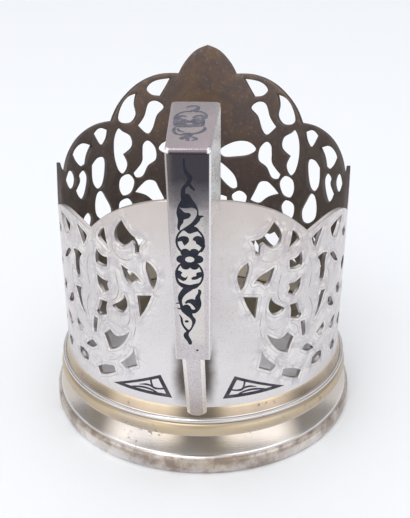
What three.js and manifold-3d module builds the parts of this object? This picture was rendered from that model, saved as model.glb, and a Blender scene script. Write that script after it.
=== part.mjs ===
// Tea-glass holder: a pierced silver wall on a moulded foot, with a box handle and niello inlays.
// Millimetres, +Z up. The origin is the middle of the floor plate's top, where the glass stands.
// The handle points to -Y, the tall medallion of the rim to +Y. All heights below are above the table,
// and each piece is moved down by the floor's height when it is added.

import * as THREE from 'three';
import { mergeVertices } from 'three/addons/utils/BufferGeometryUtils.js';
import Module from 'manifold-3d';

const wasm = await Module();
wasm.setup();

// Cup
const bore = 68; // inner diameter of the wall, for a tea glass
const wallSheet = 1;
const wallHeight = 67.4; // lower edge of the wall to the top of the medallion
const floorSheet = 1;
const floorSink = 0.2; // floor plate below the wall's lower edge
const floorMargin = 1; // floor plate's edge inside the bore
const floorLedge = 1.5; // width of the ledge under the floor plate
const clearance = 0.3;
const cutMargin = 2; // cutters of the openings reach this far past the wall on both sides

// Foot: heights of its three rings, and how far each line steps out from the one above it
const upperRingHeight = 3.5;
const middleRingHeight = 7.8;
const footRimHeight = 4.9;
const filletStep = 1;
const filletEdge = 0.3; // upright edge above the fillet
const beadStep = 0.1; // bead's flat outside the fillet
const beadRadius = 0.7;
const ovoloStep = 0.5;
const ovoloHeight = 2.5;
const coverStep = 0.4;
const cavettoEdge = 0.3; // upright edges above and below the hollow
const cavettoStep = 1.1;
const rimStep = 0.6;
const footSheet = 1.3;
const footRimWidth = 3.2;
const footRimRound = 0.6;

// Handle: a box of flat sheets that hangs from a thumb plate, and a strut back to the foot
const handleRise = 1.9; // thumb plate above the top of the wall
const handleReach = 29; // wall to the front edge of the thumb plate
const handleLean = 14; // degrees, the bar leans in towards its lower end
const handleSheet = 0.9;
const barLength = 46.9;
const barDepth = 3.2;
const rearWidth = 9.2; // thumb plate at the wall
const frontWidth = 7.3; // thumb plate at its front edge
const barFootWidth = 6.6;
const blockDepth = 21.8; // thumb plate to the underside of the block, at the wall
const undersideSlope = 0.28;
const undersideRound = 2.4;
const blockFlare = 0.001; // extra widening of the block for each millimetre down and back
const strutWidth = 4.3;
const strutThickness = 1.5;
const strutInset = 0.5;
const strutReach = 1.9; // tip of the strut outside the wall
const strutDrop = 1.2; // tip of the strut below the wall's lower edge
const inlay = 0.15; // thickness of the niello above the silver
const inlayGap = 0.06; // keeps the niello on the round wall clear of its flat facets

// The drawing of the wall is unrolled: s runs from the handle's middle line to the medallion's,
// h is the height above the table, both in millimetres. A point with a third value is a corner.
const drawnBase = 16.2; // lower edge of the wall in the drawing
const shortStretch = 4; // an outline's stretch shorter than this stays straight
const roundSegments = 48;
const ringOverlap = 8; // degrees that the two halves of a drawn ring overlap at each end

const boreRadius = bore / 2;
const wallRadius = boreRadius + wallSheet;
const footHeight = upperRingHeight + middleRingHeight + footRimHeight;
const floorTop = footHeight - floorSink;
const handleTop = footHeight + wallHeight + handleRise;
const lean = THREE.MathUtils.degToRad(handleLean);

// Rim of one half, arch by arch from the handle to the medallion
const rimArches = [
  [[0, 65.7], [9.2, 64.9], [18.3, 61.4], [26, 55.4]],
  [[26, 55.4], [30, 56.6], [35, 57.2], [41, 56.2], [47.6, 53.4]],
  [[47.6, 53.4], [50.4, 57.4], [52.4, 62.6]],
  [[52.4, 62.6], [55, 60], [58.2, 58.3]],
  [[58.2, 58.3], [62, 61.6], [68, 64.3], [75, 65.7], [81.2, 65.6]],
  [[81.2, 65.6], [84.4, 70.1], [90, 74.2], [96, 76.2], [102, 76.2]],
  [[102, 76.2], [103.8, 79.2], [106.6, 82.1], [110, 83.6]],
];
// The rim ends at the tip of the medallion, half the way round and at the wall's full height
const [drawnArc, drawnTop] = rimArches.at(-1).at(-1);

// Panel beside the handle
const panelHoles = [
  [[16.4, 59.8, 1], [18, 57.8], [18.2, 55], [16.6, 53.9], [14.4, 55.3, 1], [13.4, 52.8, 1], [12.4, 52.8, 1],
    [11.3, 56.3, 1], [14.6, 57]],
  [[21.2, 57, 1], [23.2, 54.4], [20.1, 52.1, 1]],
  [[20.8, 50.2, 1], [23.9, 51.4, 1], [24.4, 48, 1], [20.9, 48.1, 1]],
  [[20.8, 44.5, 1], [24.2, 45.2, 1], [22.7, 41.2, 1], [20.7, 42.4, 1]],
  [[21.5, 39.2, 1], [23.7, 39.1, 1], [25.1, 35.7], [21.8, 36, 1]],
  [[25, 33.8, 1], [26.2, 33.9, 1], [26.7, 29.9, 1], [25.8, 30, 1]],
  [[10.8, 51.4, 1], [8.6, 48.6], [9.3, 45.1, 1], [10.8, 48.8]],
  [[17, 49.4, 1], [13.5, 47.8], [12.1, 46.2, 1], [14.9, 45.2, 1]],
  [[9.9, 43.5, 1], [13.3, 42.9, 1], [12.8, 37.8, 1]],
  [[16.5, 42.4, 1], [17.4, 40.8], [20, 38.9, 1], [17.6, 37.8], [16, 40]],
];
const panelLowerHoles = [
  [[15.7, 33.3, 1], [18.8, 31.4], [21.2, 32.4, 1], [23, 30.6, 1], [21.6, 27.1, 1], [17.8, 29.6]],
  [[14.7, 29.3, 1], [18.4, 24.5, 1], [17.2, 23.4, 1], [14, 25.1, 1]],
  [[20.5, 22.9, 1], [26, 20.6, 1], [25.2, 18.9, 1], [20.1, 21.5, 1]],
];

// Low arch on each side
const sideHoles = [
  [[27, 53.6, 1], [30.8, 55.2, 1], [28.7, 51.1, 1]],
  [[34.2, 53.9, 1], [40.8, 54.8, 1], [37.6, 50.7, 1]],
  [[29.5, 48.3, 1], [33.4, 48.1, 1], [32.8, 43.9], [31.6, 41.8], [30.8, 44.6]],
  [[34.9, 47.3, 1], [37.6, 46.6], [40, 43.7, 1]],
  [[30.8, 39.5, 1], [33.6, 38.8, 1], [29.7, 32.9, 1]],
  [[41.8, 50.4, 1], [44.2, 50.9], [45.6, 49, 1], [43.4, 48.4]],
  [[40.2, 36.8, 1], [42.4, 36.9], [44.2, 34.8, 1], [41.6, 34.4]],
  [[43.4, 41.6, 1], [46, 42.4], [48.4, 40.8, 1], [45.4, 38.8]],
  [[50.6, 42.2, 1], [53, 42.6], [55, 40.2, 1], [53.2, 37.6, 1]],
  [[57.4, 41.8, 1], [59.8, 41.8], [62.2, 39.4, 1], [59.2, 37.4]],
  [[46, 34.6, 1], [48.6, 35.2], [50.4, 33.6, 1], [48.4, 31]],
  [[53, 33.4], [55.4, 35], [57.6, 32.8], [55.2, 30.2]],
  [[60.2, 34.2, 1], [63, 34], [64.6, 31, 1], [61.6, 30.8]],
  [[43.4, 25.8, 1], [46, 26.8], [48.4, 25.4, 1], [46.2, 23.4]],
  [[51, 27.6, 1], [54, 27], [56.4, 24.8, 1], [53.4, 23.4]],
  [[59, 27.8, 1], [61.4, 27.2], [63.8, 24.6, 1], [60.6, 23.9]],
  [[38.6, 21.6, 1], [41.4, 21.8], [43, 20, 1], [40.2, 19.4]],
  [[48.4, 20.8, 1], [51, 21.2], [53.4, 19.6, 1], [50.4, 18.9]],
  [[58.4, 21.4, 1], [61.4, 21.6], [63.8, 19.8, 1], [60.6, 19.2]],
];
const sideLowerHoles = [
  [[35.4, 35.9, 1], [37.4, 35.4], [39.2, 32.6, 1], [36.6, 33.2]],
  [[31, 28.8, 1], [33.8, 30.3, 1], [34.4, 28.4], [32.4, 27.3]],
  [[25.9, 26.3, 1], [27.8, 27], [30.2, 25, 1]],
  [[29.8, 22.3, 1], [33.9, 22.4, 1], [33.9, 20.8, 1], [29.8, 20.6, 1]],
  [[37.2, 27.4, 1], [41.2, 29, 1], [39.6, 26.5]],
];

// Arch between the side and the tall arch
const middleHoles = [
  [[63.6, 61.1, 1], [66, 62.3], [69.6, 62.5], [73.3, 60.8, 1], [71.2, 58.6], [70, 56.4], [67, 57]],
  [[74.2, 63.8, 1], [76.8, 64.7], [79.8, 63.4, 1], [78, 60, 1]],
  [[72.6, 55.6, 1], [75.4, 57], [78.2, 55.6], [77.4, 49.8], [75.2, 48.2], [72.6, 50.6]],
  [[74.2, 47.3], [77, 46.8], [79.6, 41.2], [78.4, 38.2], [73.6, 41], [72.8, 44.6]],
  [[66.6, 54.9], [69.4, 55.1], [70.9, 52.6], [69.4, 48.4], [67.4, 47.8], [64.1, 51.3, 1], [66.2, 52.8, 1]],
  [[57.6, 56.4, 1], [61, 57.7], [64.8, 55], [63.4, 52.3], [60, 53.4]],
  [[67.2, 42.4], [70, 43.1], [71.5, 40.6], [69.4, 38], [66.8, 39.6]],
];

// Tall arch beside the medallion
const tallHoles = [
  [[83.3, 66], [84.6, 69.2], [86.8, 71], [89.5, 71.8, 1], [89, 66], [87.2, 64], [84.6, 64.6]],
  [[92.6, 72.8], [94.8, 74.6], [99.6, 75, 1], [96.4, 70.4, 1], [94, 71.1]],
  [[93, 68.8], [95.6, 69.2], [97.6, 67.2], [95.2, 64.6], [93.4, 60.4], [89.6, 63.1, 1], [91.8, 65.6]],
  [[81.6, 60.6], [83.4, 63.3], [85.6, 61], [88, 58.8], [84.9, 55.6, 1], [86.1, 52.2], [84.2, 50.2],
    [81.8, 54]],
  [[91.2, 58], [93, 58.1], [95.2, 54.4], [92.6, 51], [90.2, 47.8], [87.6, 49.9, 1], [90.6, 53]],
  [[83.4, 49.3], [86.2, 49.7], [88.1, 47], [86.2, 43.8], [83.4, 44.4]],
  [[82.6, 42.4], [85.4, 42.8], [87.2, 40.2], [85, 37.2], [82.4, 39.2]],
  [[87.8, 44.1, 1], [92, 47], [94.8, 45.6], [97.2, 40.4, 1], [94, 40], [91.4, 42.6]],
  [[95.7, 55.9], [98.4, 57.7], [102.4, 57.2], [106.3, 54.6], [104.6, 52.7], [98, 53.9]],
  [[101.2, 44.2], [102.4, 48], [107.8, 52.3, 1], [107.2, 47.8], [103.2, 43.4]],
  [[98.2, 41.2], [100.4, 43], [102.8, 41], [100.6, 38.2]],
  [[99.6, 34.4, 1], [102.6, 34.2], [104.6, 31.6, 1], [101.2, 31]],
  [[104.2, 40.8, 1], [106.8, 41], [107.6, 37.6, 1], [104.8, 38]],
  [[77, 35.6, 1], [79.2, 36], [80.4, 33.4, 1], [78, 32.6]],
  [[66.4, 21.6, 1], [69.4, 22], [72.4, 20, 1], [69, 19.4]],
];

const silver = { color: 0xcbc6c4, roughness: 0.38, metalness: 0.9 };
const gilt = { color: 0xc9b48a, roughness: 0.35, metalness: 0.9 };
const niello = { color: 0x23262f, roughness: 0.45, metalness: 0.3 };

const model = new THREE.Group();

// Solids

function addPiece(name, geometry, look) {
  const mesh = new THREE.Mesh(geometry.translate(0, 0, -floorTop), new THREE.MeshStandardMaterial(look));
  mesh.name = name;
  model.add(mesh);
}

function signedVolume(geometry) {
  const { position } = geometry.attributes;
  const corner = [0, 1, 2].map(() => new THREE.Vector3());
  let volume = 0;
  for (let i = 0; i < geometry.index.count; i += 3) {
    corner.forEach((point, k) => point.fromBufferAttribute(position, geometry.index.getX(i + k)));
    volume += corner[0].dot(corner[1].cross(corner[2])) / 6;
  }
  return volume;
}

// Keeps the positions only, joins equal vertices and turns the faces outward
function closed(geometry) {
  geometry.deleteAttribute('normal');
  geometry.deleteAttribute('uv');
  const merged = mergeVertices(geometry, 1e-4);
  if (signedVolume(merged) < 0) {
    const { index } = merged;
    for (let i = 0; i < index.count; i += 3) {
      const second = index.getX(i + 1);
      index.setX(i + 1, index.getX(i + 2));
      index.setX(i + 2, second);
    }
  }
  return merged;
}

function toSolid(geometry) {
  const vertProperties = new Float32Array(geometry.attributes.position.array);
  const triVerts = new Uint32Array(geometry.index.array);
  return new wasm.Manifold(new wasm.Mesh({ numProp: 3, vertProperties, triVerts }));
}

function toGeometry(solid) {
  const { vertProperties, triVerts } = solid.getMesh();
  const geometry = new THREE.BufferGeometry();
  geometry.setAttribute('position', new THREE.BufferAttribute(vertProperties, 3));
  geometry.setIndex(new THREE.BufferAttribute(triVerts, 1));
  return geometry;
}

function joined(geometries) {
  return toGeometry(geometries.map(toSolid).reduce((all, solid) => all.add(solid)));
}

function mapped(geometry, place) {
  const { position } = geometry.attributes;
  for (let i = 0; i < position.count; i += 1) {
    const [x, y, z] = place(position.getX(i), position.getY(i), position.getZ(i));
    position.setXYZ(i, x, y, z);
  }
  return geometry;
}

function prism(outline, depth) {
  const shape = new THREE.Shape(outline.map(([x, y]) => new THREE.Vector2(x, y)));
  return new THREE.ExtrudeGeometry(shape, { depth, bevelEnabled: false });
}

function ring(profile) {
  const points = [...profile, profile[0]].map(([radius, height]) => new THREE.Vector2(radius, height));
  return closed(new THREE.LatheGeometry(points, roundSegments).rotateX(Math.PI / 2));
}

// Points on a quarter of an ellipse, from angle first to angle last in degrees
function arc([x, y], [radiusX, radiusY], first, last, steps) {
  return Array.from({ length: steps + 1 }, (_, i) => {
    const angle = THREE.MathUtils.degToRad(first + ((last - first) * i) / steps);
    return [x + radiusX * Math.cos(angle), y + radiusY * Math.sin(angle)];
  });
}

// Unrolled wall

const heightScale = wallHeight / (drawnTop - drawnBase);

function onWall(s, h, radius) {
  const angle = (s * Math.PI) / drawnArc;
  return [radius * Math.sin(angle), -radius * Math.cos(angle), footHeight + (h - drawnBase) * heightScale];
}

function smoothLine(points, steps) {
  const curve = new THREE.SplineCurve(points.map(([x, y]) => new THREE.Vector2(x, y)));
  return curve.getPoints(steps).map(({ x, y }) => [x, y]);
}

// Closed outline through the points: a corner keeps its point sharp, and a long stretch that starts or
// ends on a smooth point gets one more point between
function smoothOutline(points) {
  const count = points.length;
  const direction = (i, from, to) => [0, 1].map((k) => points[to][k] - points[from][k]);
  const outline = [];
  points.forEach((point, i) => {
    const next = (i + 1) % count;
    const afterNext = (i + 2) % count;
    const before = (i + count - 1) % count;
    outline.push([point[0], point[1]]);
    const length = Math.hypot(...direction(i, i, next));
    if ((point[2] && points[next][2]) || length < shortStretch) return;
    const leave = point[2] ? direction(i, i, next) : direction(i, before, next).map((v) => v / 2);
    const arrive = points[next][2] ? direction(i, i, next) : direction(i, i, afterNext).map((v) => v / 2);
    outline.push([0, 1].map((k) => (point[k] + points[next][k]) / 2 + (leave[k] - arrive[k]) / 8));
  });
  return outline;
}

function mirrored(points) {
  return points.map(([s, h, corner]) => [-s, h, corner]);
}

// The lower holes near the handle come again near the medallion
function acrossTheSide(points) {
  return points.map(([s, h, corner]) => [drawnArc - s, h, corner]);
}

function holeCutter(points) {
  const cutter = prism(smoothOutline(points), wallSheet + 2 * cutMargin);
  return closed(mapped(cutter, (s, h, out) => onWall(s, h, boreRadius - cutMargin + out)));
}

function wallBlank() {
  const half = rimArches.flatMap((arch, i) => smoothLine(arch, 2 * arch.length - 3).slice(i ? 1 : 0));
  const left = half.slice(1, -1).reverse().map(([s, h]) => [-s, h]);
  const rim = [...half, ...left];
  const positions = rim.flatMap(([s, h]) => [
    ...onWall(s, drawnBase, wallRadius),
    ...onWall(s, h, wallRadius),
    ...onWall(s, h, boreRadius),
    ...onWall(s, drawnBase, boreRadius),
  ]);
  const index = rim.flatMap((_, i) => {
    const here = 4 * i;
    const there = 4 * ((i + 1) % rim.length);
    return [0, 1, 2, 3].flatMap((a) => {
      const b = (a + 1) % 4;
      return [here + a, there + a, there + b, here + a, there + b, here + b];
    });
  });
  const geometry = new THREE.BufferGeometry();
  geometry.setAttribute('position', new THREE.Float32BufferAttribute(positions, 3));
  geometry.setIndex(index);
  return closed(geometry);
}

function piercedWall() {
  const half = [
    ...panelHoles, ...panelLowerHoles, ...sideHoles, ...sideLowerHoles, ...middleHoles, ...tallHoles,
    ...[...panelLowerHoles, ...sideLowerHoles].map(acrossTheSide),
  ];
  const holes = [...half, ...half.map(mirrored)];
  const cutters = holes.map((hole) => toSolid(holeCutter(hole)));
  return toGeometry(cutters.reduce((wall, cutter) => wall.subtract(cutter), toSolid(wallBlank())));
}

// Foot, from the wall down

const middleTop = footRimHeight + middleRingHeight;
const beadReach = wallRadius + filletStep + beadStep;
const ovoloReach = beadReach + ovoloStep + beadRadius;
const cavettoTop = ovoloReach - coverStep;
const cavettoReach = cavettoTop + cavettoStep;
const footReach = cavettoReach + rimStep;
const floorRadius = boreRadius - floorMargin;

function upperRing() {
  const seat = floorTop - floorSheet;
  const beadHeight = middleTop + beadRadius;
  const filletTop = footHeight - filletEdge;
  const filletHeight = filletTop - beadHeight - beadRadius;
  return ring([
    [floorRadius + clearance, footHeight],
    [floorRadius + clearance, seat],
    [floorRadius - floorLedge, seat],
    [floorRadius - floorLedge, middleTop],
    ...arc([beadReach, beadHeight], [beadRadius, beadRadius], -90, 90, 4),
    ...arc([wallRadius + filletStep, filletTop], [filletStep, filletHeight], 270, 180, 3).slice(1),
    [wallRadius, footHeight],
  ]);
}

function middleRing() {
  const coverHeight = middleTop - ovoloHeight;
  const hollowTop = coverHeight - cavettoEdge;
  const hollowHeight = hollowTop - footRimHeight - cavettoEdge;
  return ring([
    [beadReach, middleTop],
    [beadReach - footSheet, middleTop],
    [cavettoTop - footSheet, hollowTop],
    [cavettoReach - footSheet, footRimHeight],
    [cavettoReach, footRimHeight],
    ...arc([cavettoReach, hollowTop], [cavettoStep, hollowHeight], 270, 180, 4),
    ...arc([beadReach, coverHeight], [ovoloReach - beadReach, ovoloHeight], 0, 90, 3).slice(0, -1),
  ]);
}

function footRim() {
  const inside = footReach - footRimWidth;
  return ring([
    [inside, footRimHeight],
    [inside, footRimRound / 2],
    [inside + footRimRound / 2, 0],
    [footReach - footRimRound, 0],
    [footReach, footRimRound],
    [footReach, footRimHeight - footRimRound / 2],
    [footReach - footRimRound / 2, footRimHeight],
  ]);
}

function floorPlate() {
  const bottom = floorTop - floorSheet;
  const profile = [[0, bottom], [floorRadius, bottom], [floorRadius, floorTop], [0, floorTop]];
  const points = profile.map(([radius, height]) => new THREE.Vector2(radius, height));
  return closed(new THREE.LatheGeometry(points, roundSegments).rotateX(Math.PI / 2));
}

// Handle. Its side view is drawn in [distance from the cup's axis, height].

const handleRear = wallRadius + clearance;
const handleFront = wallRadius + clearance + handleReach;
const sheetTop = handleTop - handleSheet;

// A point u below the front edge along the bar and v in from its face
function onBar(u, v) {
  const distance = handleFront - u * Math.sin(lean) - v * Math.cos(lean);
  return [distance, handleTop - u * Math.cos(lean) + v * Math.sin(lean)];
}

function frontHalfWidth(height) {
  const share = (handleTop - height) / (barLength * Math.cos(lean));
  return THREE.MathUtils.lerp(frontWidth, barFootWidth, share) / 2;
}

function halfWidth(distance, height) {
  const drop = handleTop - height;
  const face = handleFront - drop * Math.tan(lean);
  const taper = (rearWidth - frontWidth) / 2 / handleReach;
  return frontHalfWidth(height) + (face - distance) * (taper + drop * blockFlare);
}

// A side view outline across the whole handle
function acrossHandle(outline) {
  return closed(mapped(prism(outline, 1), (distance, height, share) => {
    return [(2 * share - 1) * halfWidth(distance, height), -distance, height];
  }));
}

// The same outline as one sheet on a flank: side is -1 on the left, 1 on the right
function onFlank(outline, side) {
  return closed(mapped(prism(outline, handleSheet), (distance, height, depth) => {
    return [side * (halfWidth(distance, height) - depth), -distance, height];
  }));
}

// Underside of the block and back of the bar, seen from the finger's side
function undersidePath() {
  const start = [handleRear, handleTop - blockDepth];
  const back = onBar(0, barDepth);
  const fall = Math.tan(lean);
  const run = (back[0] - start[0] - (back[1] - start[1]) * fall) / (1 - undersideSlope * fall);
  const corner = new THREE.Vector2(start[0] + run, start[1] + run * undersideSlope);
  const along = new THREE.Vector2(1, undersideSlope).normalize().multiplyScalar(undersideRound);
  const down = new THREE.Vector2(-Math.sin(lean), -Math.cos(lean)).multiplyScalar(undersideRound);
  const bend = new THREE.QuadraticBezierCurve(corner.clone().sub(along), corner, corner.clone().add(down));
  return [start, ...bend.getPoints(4).map(({ x, y }) => [x, y]), onBar(barLength, barDepth)];
}

// The same path moved into the handle by the thickness of the sheet
function insidePath(path) {
  return path.map((point, i) => {
    const toward = (from, to) => new THREE.Vector2(to[0] - from[0], to[1] - from[1]).normalize();
    const before = toward(path[Math.max(i - 1, 0)], path[Math.max(i, 1)]);
    const after = toward(path[Math.min(i, path.length - 2)], path[Math.min(i + 1, path.length - 1)]);
    const middle = before.clone().add(after).normalize();
    const reach = handleSheet / middle.dot(before);
    if (i === 0) return [point[0], point[1] + handleSheet / after.x];
    return [point[0] - middle.y * reach, point[1] + middle.x * reach];
  });
}

function frontSheet() {
  const outerTop = handleSheet / Math.cos(lean);
  const innerTop = (handleSheet * (1 + Math.sin(lean))) / Math.cos(lean);
  const outer = [outerTop, barLength].map((u) => onBar(u, 0));
  const inner = [barLength, innerTop].map((u) => onBar(u, handleSheet));
  return [...outer, ...inner];
}

function addHandle() {
  const outside = undersidePath();
  const inside = insidePath(outside);
  const [rearInside, ...restInside] = inside;
  const rearFace = handleRear + handleSheet;
  const rearFoot = [rearFace, rearInside[1] + handleSheet * undersideSlope];
  const frontInside = frontSheet().at(-1);
  const barInside = restInside.slice(0, -1);
  const cheek = [
    rearFoot, ...barInside, onBar(barLength - handleSheet, barDepth - handleSheet),
    onBar(barLength - handleSheet, handleSheet), frontInside, [rearFace, sheetTop],
  ];
  const endPlate = [
    onBar(barLength - handleSheet, handleSheet), onBar(barLength, handleSheet),
    onBar(barLength, barDepth - handleSheet), onBar(barLength - handleSheet, barDepth - handleSheet),
  ];
  const thumbPlate = [
    [handleRear, sheetTop], [handleFront, sheetTop], [handleFront, handleTop], [handleRear, handleTop],
  ];
  const rearPlate = [rearInside, rearFoot, [rearFace, sheetTop], [handleRear, sheetTop]];
  addPiece('handle_thumb_plate', acrossHandle(thumbPlate), silver);
  addPiece('handle_front_plate', acrossHandle(frontSheet()), silver);
  addPiece('handle_back_plate', acrossHandle([...outside, ...inside.reverse()]), silver);
  addPiece('handle_rear_plate', acrossHandle(rearPlate), silver);
  addPiece('handle_end_plate', acrossHandle(endPlate), silver);
  addPiece('handle_cheek_left', onFlank(cheek, -1), silver);
  addPiece('handle_cheek_right', onFlank(cheek, 1), silver);
}

// Strut with a round tip, from the lower end of the bar to the wall's foot
function strut() {
  const head = onBar(barLength, strutInset);
  const foot = [wallRadius + strutReach, footHeight - strutDrop];
  const along = new THREE.Vector2(head[0] - foot[0], head[1] - foot[1]).normalize();
  const inward = [-along.y * strutThickness, along.x * strutThickness];
  const headWidth = strutThickness / Math.abs(along.y * Math.cos(lean) + along.x * Math.sin(lean));
  const headInside = onBar(barLength, strutInset + headWidth);
  const side = [head, headInside, [foot[0] + inward[0], foot[1] + inward[1]], foot];
  const half = strutWidth / 2;
  const sideSolid = closed(mapped(prism(side, 1), (distance, height, depth) => {
    return [(depth - 0.5) * strutWidth, -distance, height];
  }));
  const middle = foot[1] + half * along.y;
  const tip = arc([0, middle], [half, half * along.y], 0, -180, 8);
  const front = [[half, handleTop], ...tip, [-half, handleTop]];
  const frontSolid = closed(mapped(prism(front, handleFront), (x, height, depth) => {
    return [x, -depth, height];
  }));
  return toGeometry(toSolid(sideSolid).intersect(toSolid(frontSolid)));
}

// Niello. Each stroke follows a smooth line and has a width at each of its points.

function strokeSolid({ line, widths, steps }, place) {
  const curve = new THREE.SplineCurve(line.map(([x, y]) => new THREE.Vector2(x, y)));
  const positions = [];
  for (let i = 0; i <= steps; i += 1) {
    const share = i / steps;
    const point = curve.getPoint(share);
    const tangent = curve.getTangent(share);
    const at = share * (widths.length - 1);
    const low = Math.min(Math.floor(at), widths.length - 2);
    const half = THREE.MathUtils.lerp(widths[low], widths[low + 1], at - low) / 2;
    const across = [-tangent.y * half, tangent.x * half];
    [[1, 0], [-1, 0], [-1, 1], [1, 1]].forEach(([side, up]) => {
      positions.push(...place(point.x + side * across[0], point.y + side * across[1], up));
    });
  }
  const index = [0, 1, 2, 0, 2, 3];
  for (let i = 0; i < steps; i += 1) {
    [0, 1, 2, 3].forEach((a) => {
      const b = (a + 1) % 4;
      const [here, there] = [4 * i, 4 * i + 4];
      index.push(here + a, there + a, there + b, here + a, there + b, here + b);
    });
  }
  index.push(...[0, 2, 1, 0, 3, 2].map((corner) => corner + 4 * steps));
  const geometry = new THREE.BufferGeometry();
  geometry.setAttribute('position', new THREE.Float32BufferAttribute(positions, 3));
  geometry.setIndex(index);
  return closed(geometry);
}

function stroke(line, widths, steps = 4) {
  return { line, widths, steps };
}

function mirroredStroke({ line, widths, steps }) {
  return { line: line.map(([x, y]) => [-x, y]), widths, steps };
}

// Two half rings whose ends overlap
function circle(centre, radius, width) {
  return [0, 180].map((start) => {
    const line = arc(centre, [radius, radius], start - ringOverlap, start + 180 + ringOverlap, 6);
    return stroke(line, [width, width], 6);
  });
}

function polar([x, y], radius, degrees) {
  const angle = THREE.MathUtils.degToRad(degrees);
  return [x + radius * Math.cos(angle), y + radius * Math.sin(angle)];
}

function inlayPiece(name, strokes, place) {
  addPiece(name, joined(strokes.map((one) => strokeSolid(one, place))), niello);
}

// Scroll on the bar's face, in [across, distance below the front edge]
function barScroll() {
  const flower = [-0.1, 22.1];
  const petals = [0, 60, 120, 180, 240, 300].map((angle) => {
    return stroke([polar(flower, 0.7, angle), polar(flower, 2.2, angle)], [1.1, 1.5], 1);
  });
  return [
    stroke([[-0.8, 1.9], [-0.5, 3.8], [0.1, 5.5], [-0.6, 7.2], [-0.6, 9.4], [0.2, 10.6]],
      [0.3, 0.4, 1, 0.7, 1, 1.8], 8),
    stroke([[-0.3, 6.4], [0.4, 7.2], [1, 7.9]], [0.5, 0.5, 0.3], 2),
    stroke([[-0.3, 10.2], [-1.6, 11.4], [-1.7, 13.2], [-1.8, 15.8]], [1, 0.8, 1, 0.2], 6),
    stroke([[0.2, 10.2], [1.3, 11.8], [1.1, 13.6], [0, 15.4]], [0.9, 0.4, 0.8, 1.2], 6),
    stroke([[1.1, 13.2], [1.8, 12.9], [2.4, 12.8]], [0.6, 0.4, 0.2], 2),
    ...circle([0, 17.7], 2.45, 0.45),
    stroke([[-2.2, 17.8], [-1, 17.4], [-0.4, 18.4]], [0.3, 1, 0.3], 4),
    stroke([[2.3, 17.6], [1.2, 17.2], [0.7, 18.4]], [0.3, 1, 0.3], 4),
    ...petals,
    ...circle([-0.3, 25.7], 2.4, 0.45),
    stroke([[-2.5, 24.8], [-1.4, 26.3], [-0.7, 26]], [0.3, 1, 0.3], 4),
    stroke([[2, 25.2], [0.9, 26.3], [0.2, 26.1]], [0.3, 0.9, 0.3], 4),
    stroke([[-1.6, 27.6], [-0.4, 28.5], [1, 27.8]], [0.5, 1.3, 0.5], 4),
    stroke([[-0.2, 28.3], [-1.7, 29.8], [-1.9, 31.8], [-1.2, 33.8], [0, 35.4]], [1, 0.8, 0.8, 1.4, 1.2], 7),
    stroke([[1.5, 28.8], [1.4, 30.6], [1.1, 32.8], [0.4, 34.4], [-0.8, 33.6]], [0.3, 0.8, 1.2, 0.6, 0.8], 7),
    stroke([[0, 35.2], [0.3, 37], [-0.4, 39], [-1.3, 40.4], [-0.8, 42.8]], [1.1, 0.7, 0.5, 0.7, 0.5], 7),
    stroke([[-2, 35.4], [-1.6, 37.4], [-0.6, 39.4]], [0.3, 0.5, 0.4], 4),
  ];
}

// Motif on the thumb plate, in [across, distance from the wall]
function thumbMotif() {
  const half = [
    stroke([[0, 8.2], [1.6, 7.4], [2.8, 9.6], [2.2, 12.2]], [0.5, 0.7, 0.7, 0.6], 6),
    stroke([[0, 14.4], [1.4, 13], [2.7, 14.4], [1.6, 16.2], [0, 15.8]], [1.2, 0.9, 1.2, 1, 1], 6),
    stroke([[0, 20.6], [1.6, 21.2], [2.5, 18.8], [1.6, 17.4]], [0.6, 0.6, 0.5, 0.3], 6),
    stroke([[0, 21.8], [0.7, 23.4], [1.6, 24]], [0.8, 1, 0.4], 3),
  ];
  return [
    stroke([[-0.6, 5.2], [0.7, 3.6], [0.2, 6], [0, 9], [0, 14], [0, 19], [0, 23.4]],
      [0.4, 0.5, 0.4, 0.4, 0.9, 0.6, 0.8], 10),
    ...half,
    ...half.map(mirroredStroke),
  ];
}

// Triangle with two leaves at the wall's foot, on the unrolled wall
function cartouche() {
  const corners = [[6.2, 18.9], [9, 24.3], [20.4, 18.7]];
  const edges = corners.map((corner, i) => stroke([corner, corners[(i + 1) % 3]], [0.8, 0.8], 5));
  return [
    ...edges,
    stroke([[7.8, 22], [9.8, 21.6], [13.4, 21]], [0.5, 0.7, 0.2], 4),
    stroke([[6.9, 20.2], [9.2, 20], [12, 19.2]], [0.5, 0.5, 0.6], 4),
  ];
}

// Scroll on the outer face of the medallion, in [s from its middle line, h]
function medallionScroll() {
  const half = [
    stroke([[0, 79.6], [-3, 78], [-3.6, 74.8], [-1.2, 73.8]], [0.5, 1, 0.9, 0.5], 6),
    stroke([[0, 71], [-4, 71.6], [-5.6, 68], [-3.6, 65.8]], [0.7, 1.1, 1, 0.5], 6),
    stroke([[0, 66], [-2, 63.6], [-4.4, 62.4]], [1.2, 1.1, 0.4], 4),
  ];
  return [
    stroke([[0, 80.4], [0, 72], [0, 61.6]], [0.6, 1.1, 0.6], 4),
    ...half,
    ...half.map(mirroredStroke),
  ];
}

function addNiello() {
  const wallInlay = (s, h, up) => onWall(s, h, wallRadius + inlayGap + up * inlay);
  inlayPiece('niello_bar_scroll', barScroll(), (x, u, up) => {
    const [distance, height] = onBar(u, -up * inlay);
    return [x, -distance, height];
  });
  inlayPiece('niello_thumb_motif', thumbMotif(), (x, reach, up) => {
    return [x, -(handleRear + reach), handleTop + up * inlay];
  });
  inlayPiece('niello_cartouche_right', cartouche(), wallInlay);
  inlayPiece('niello_cartouche_left', cartouche().map(mirroredStroke), wallInlay);
  inlayPiece('niello_medallion_scroll', medallionScroll(), (s, h, up) => wallInlay(drawnArc + s, h, up));
}

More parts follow.
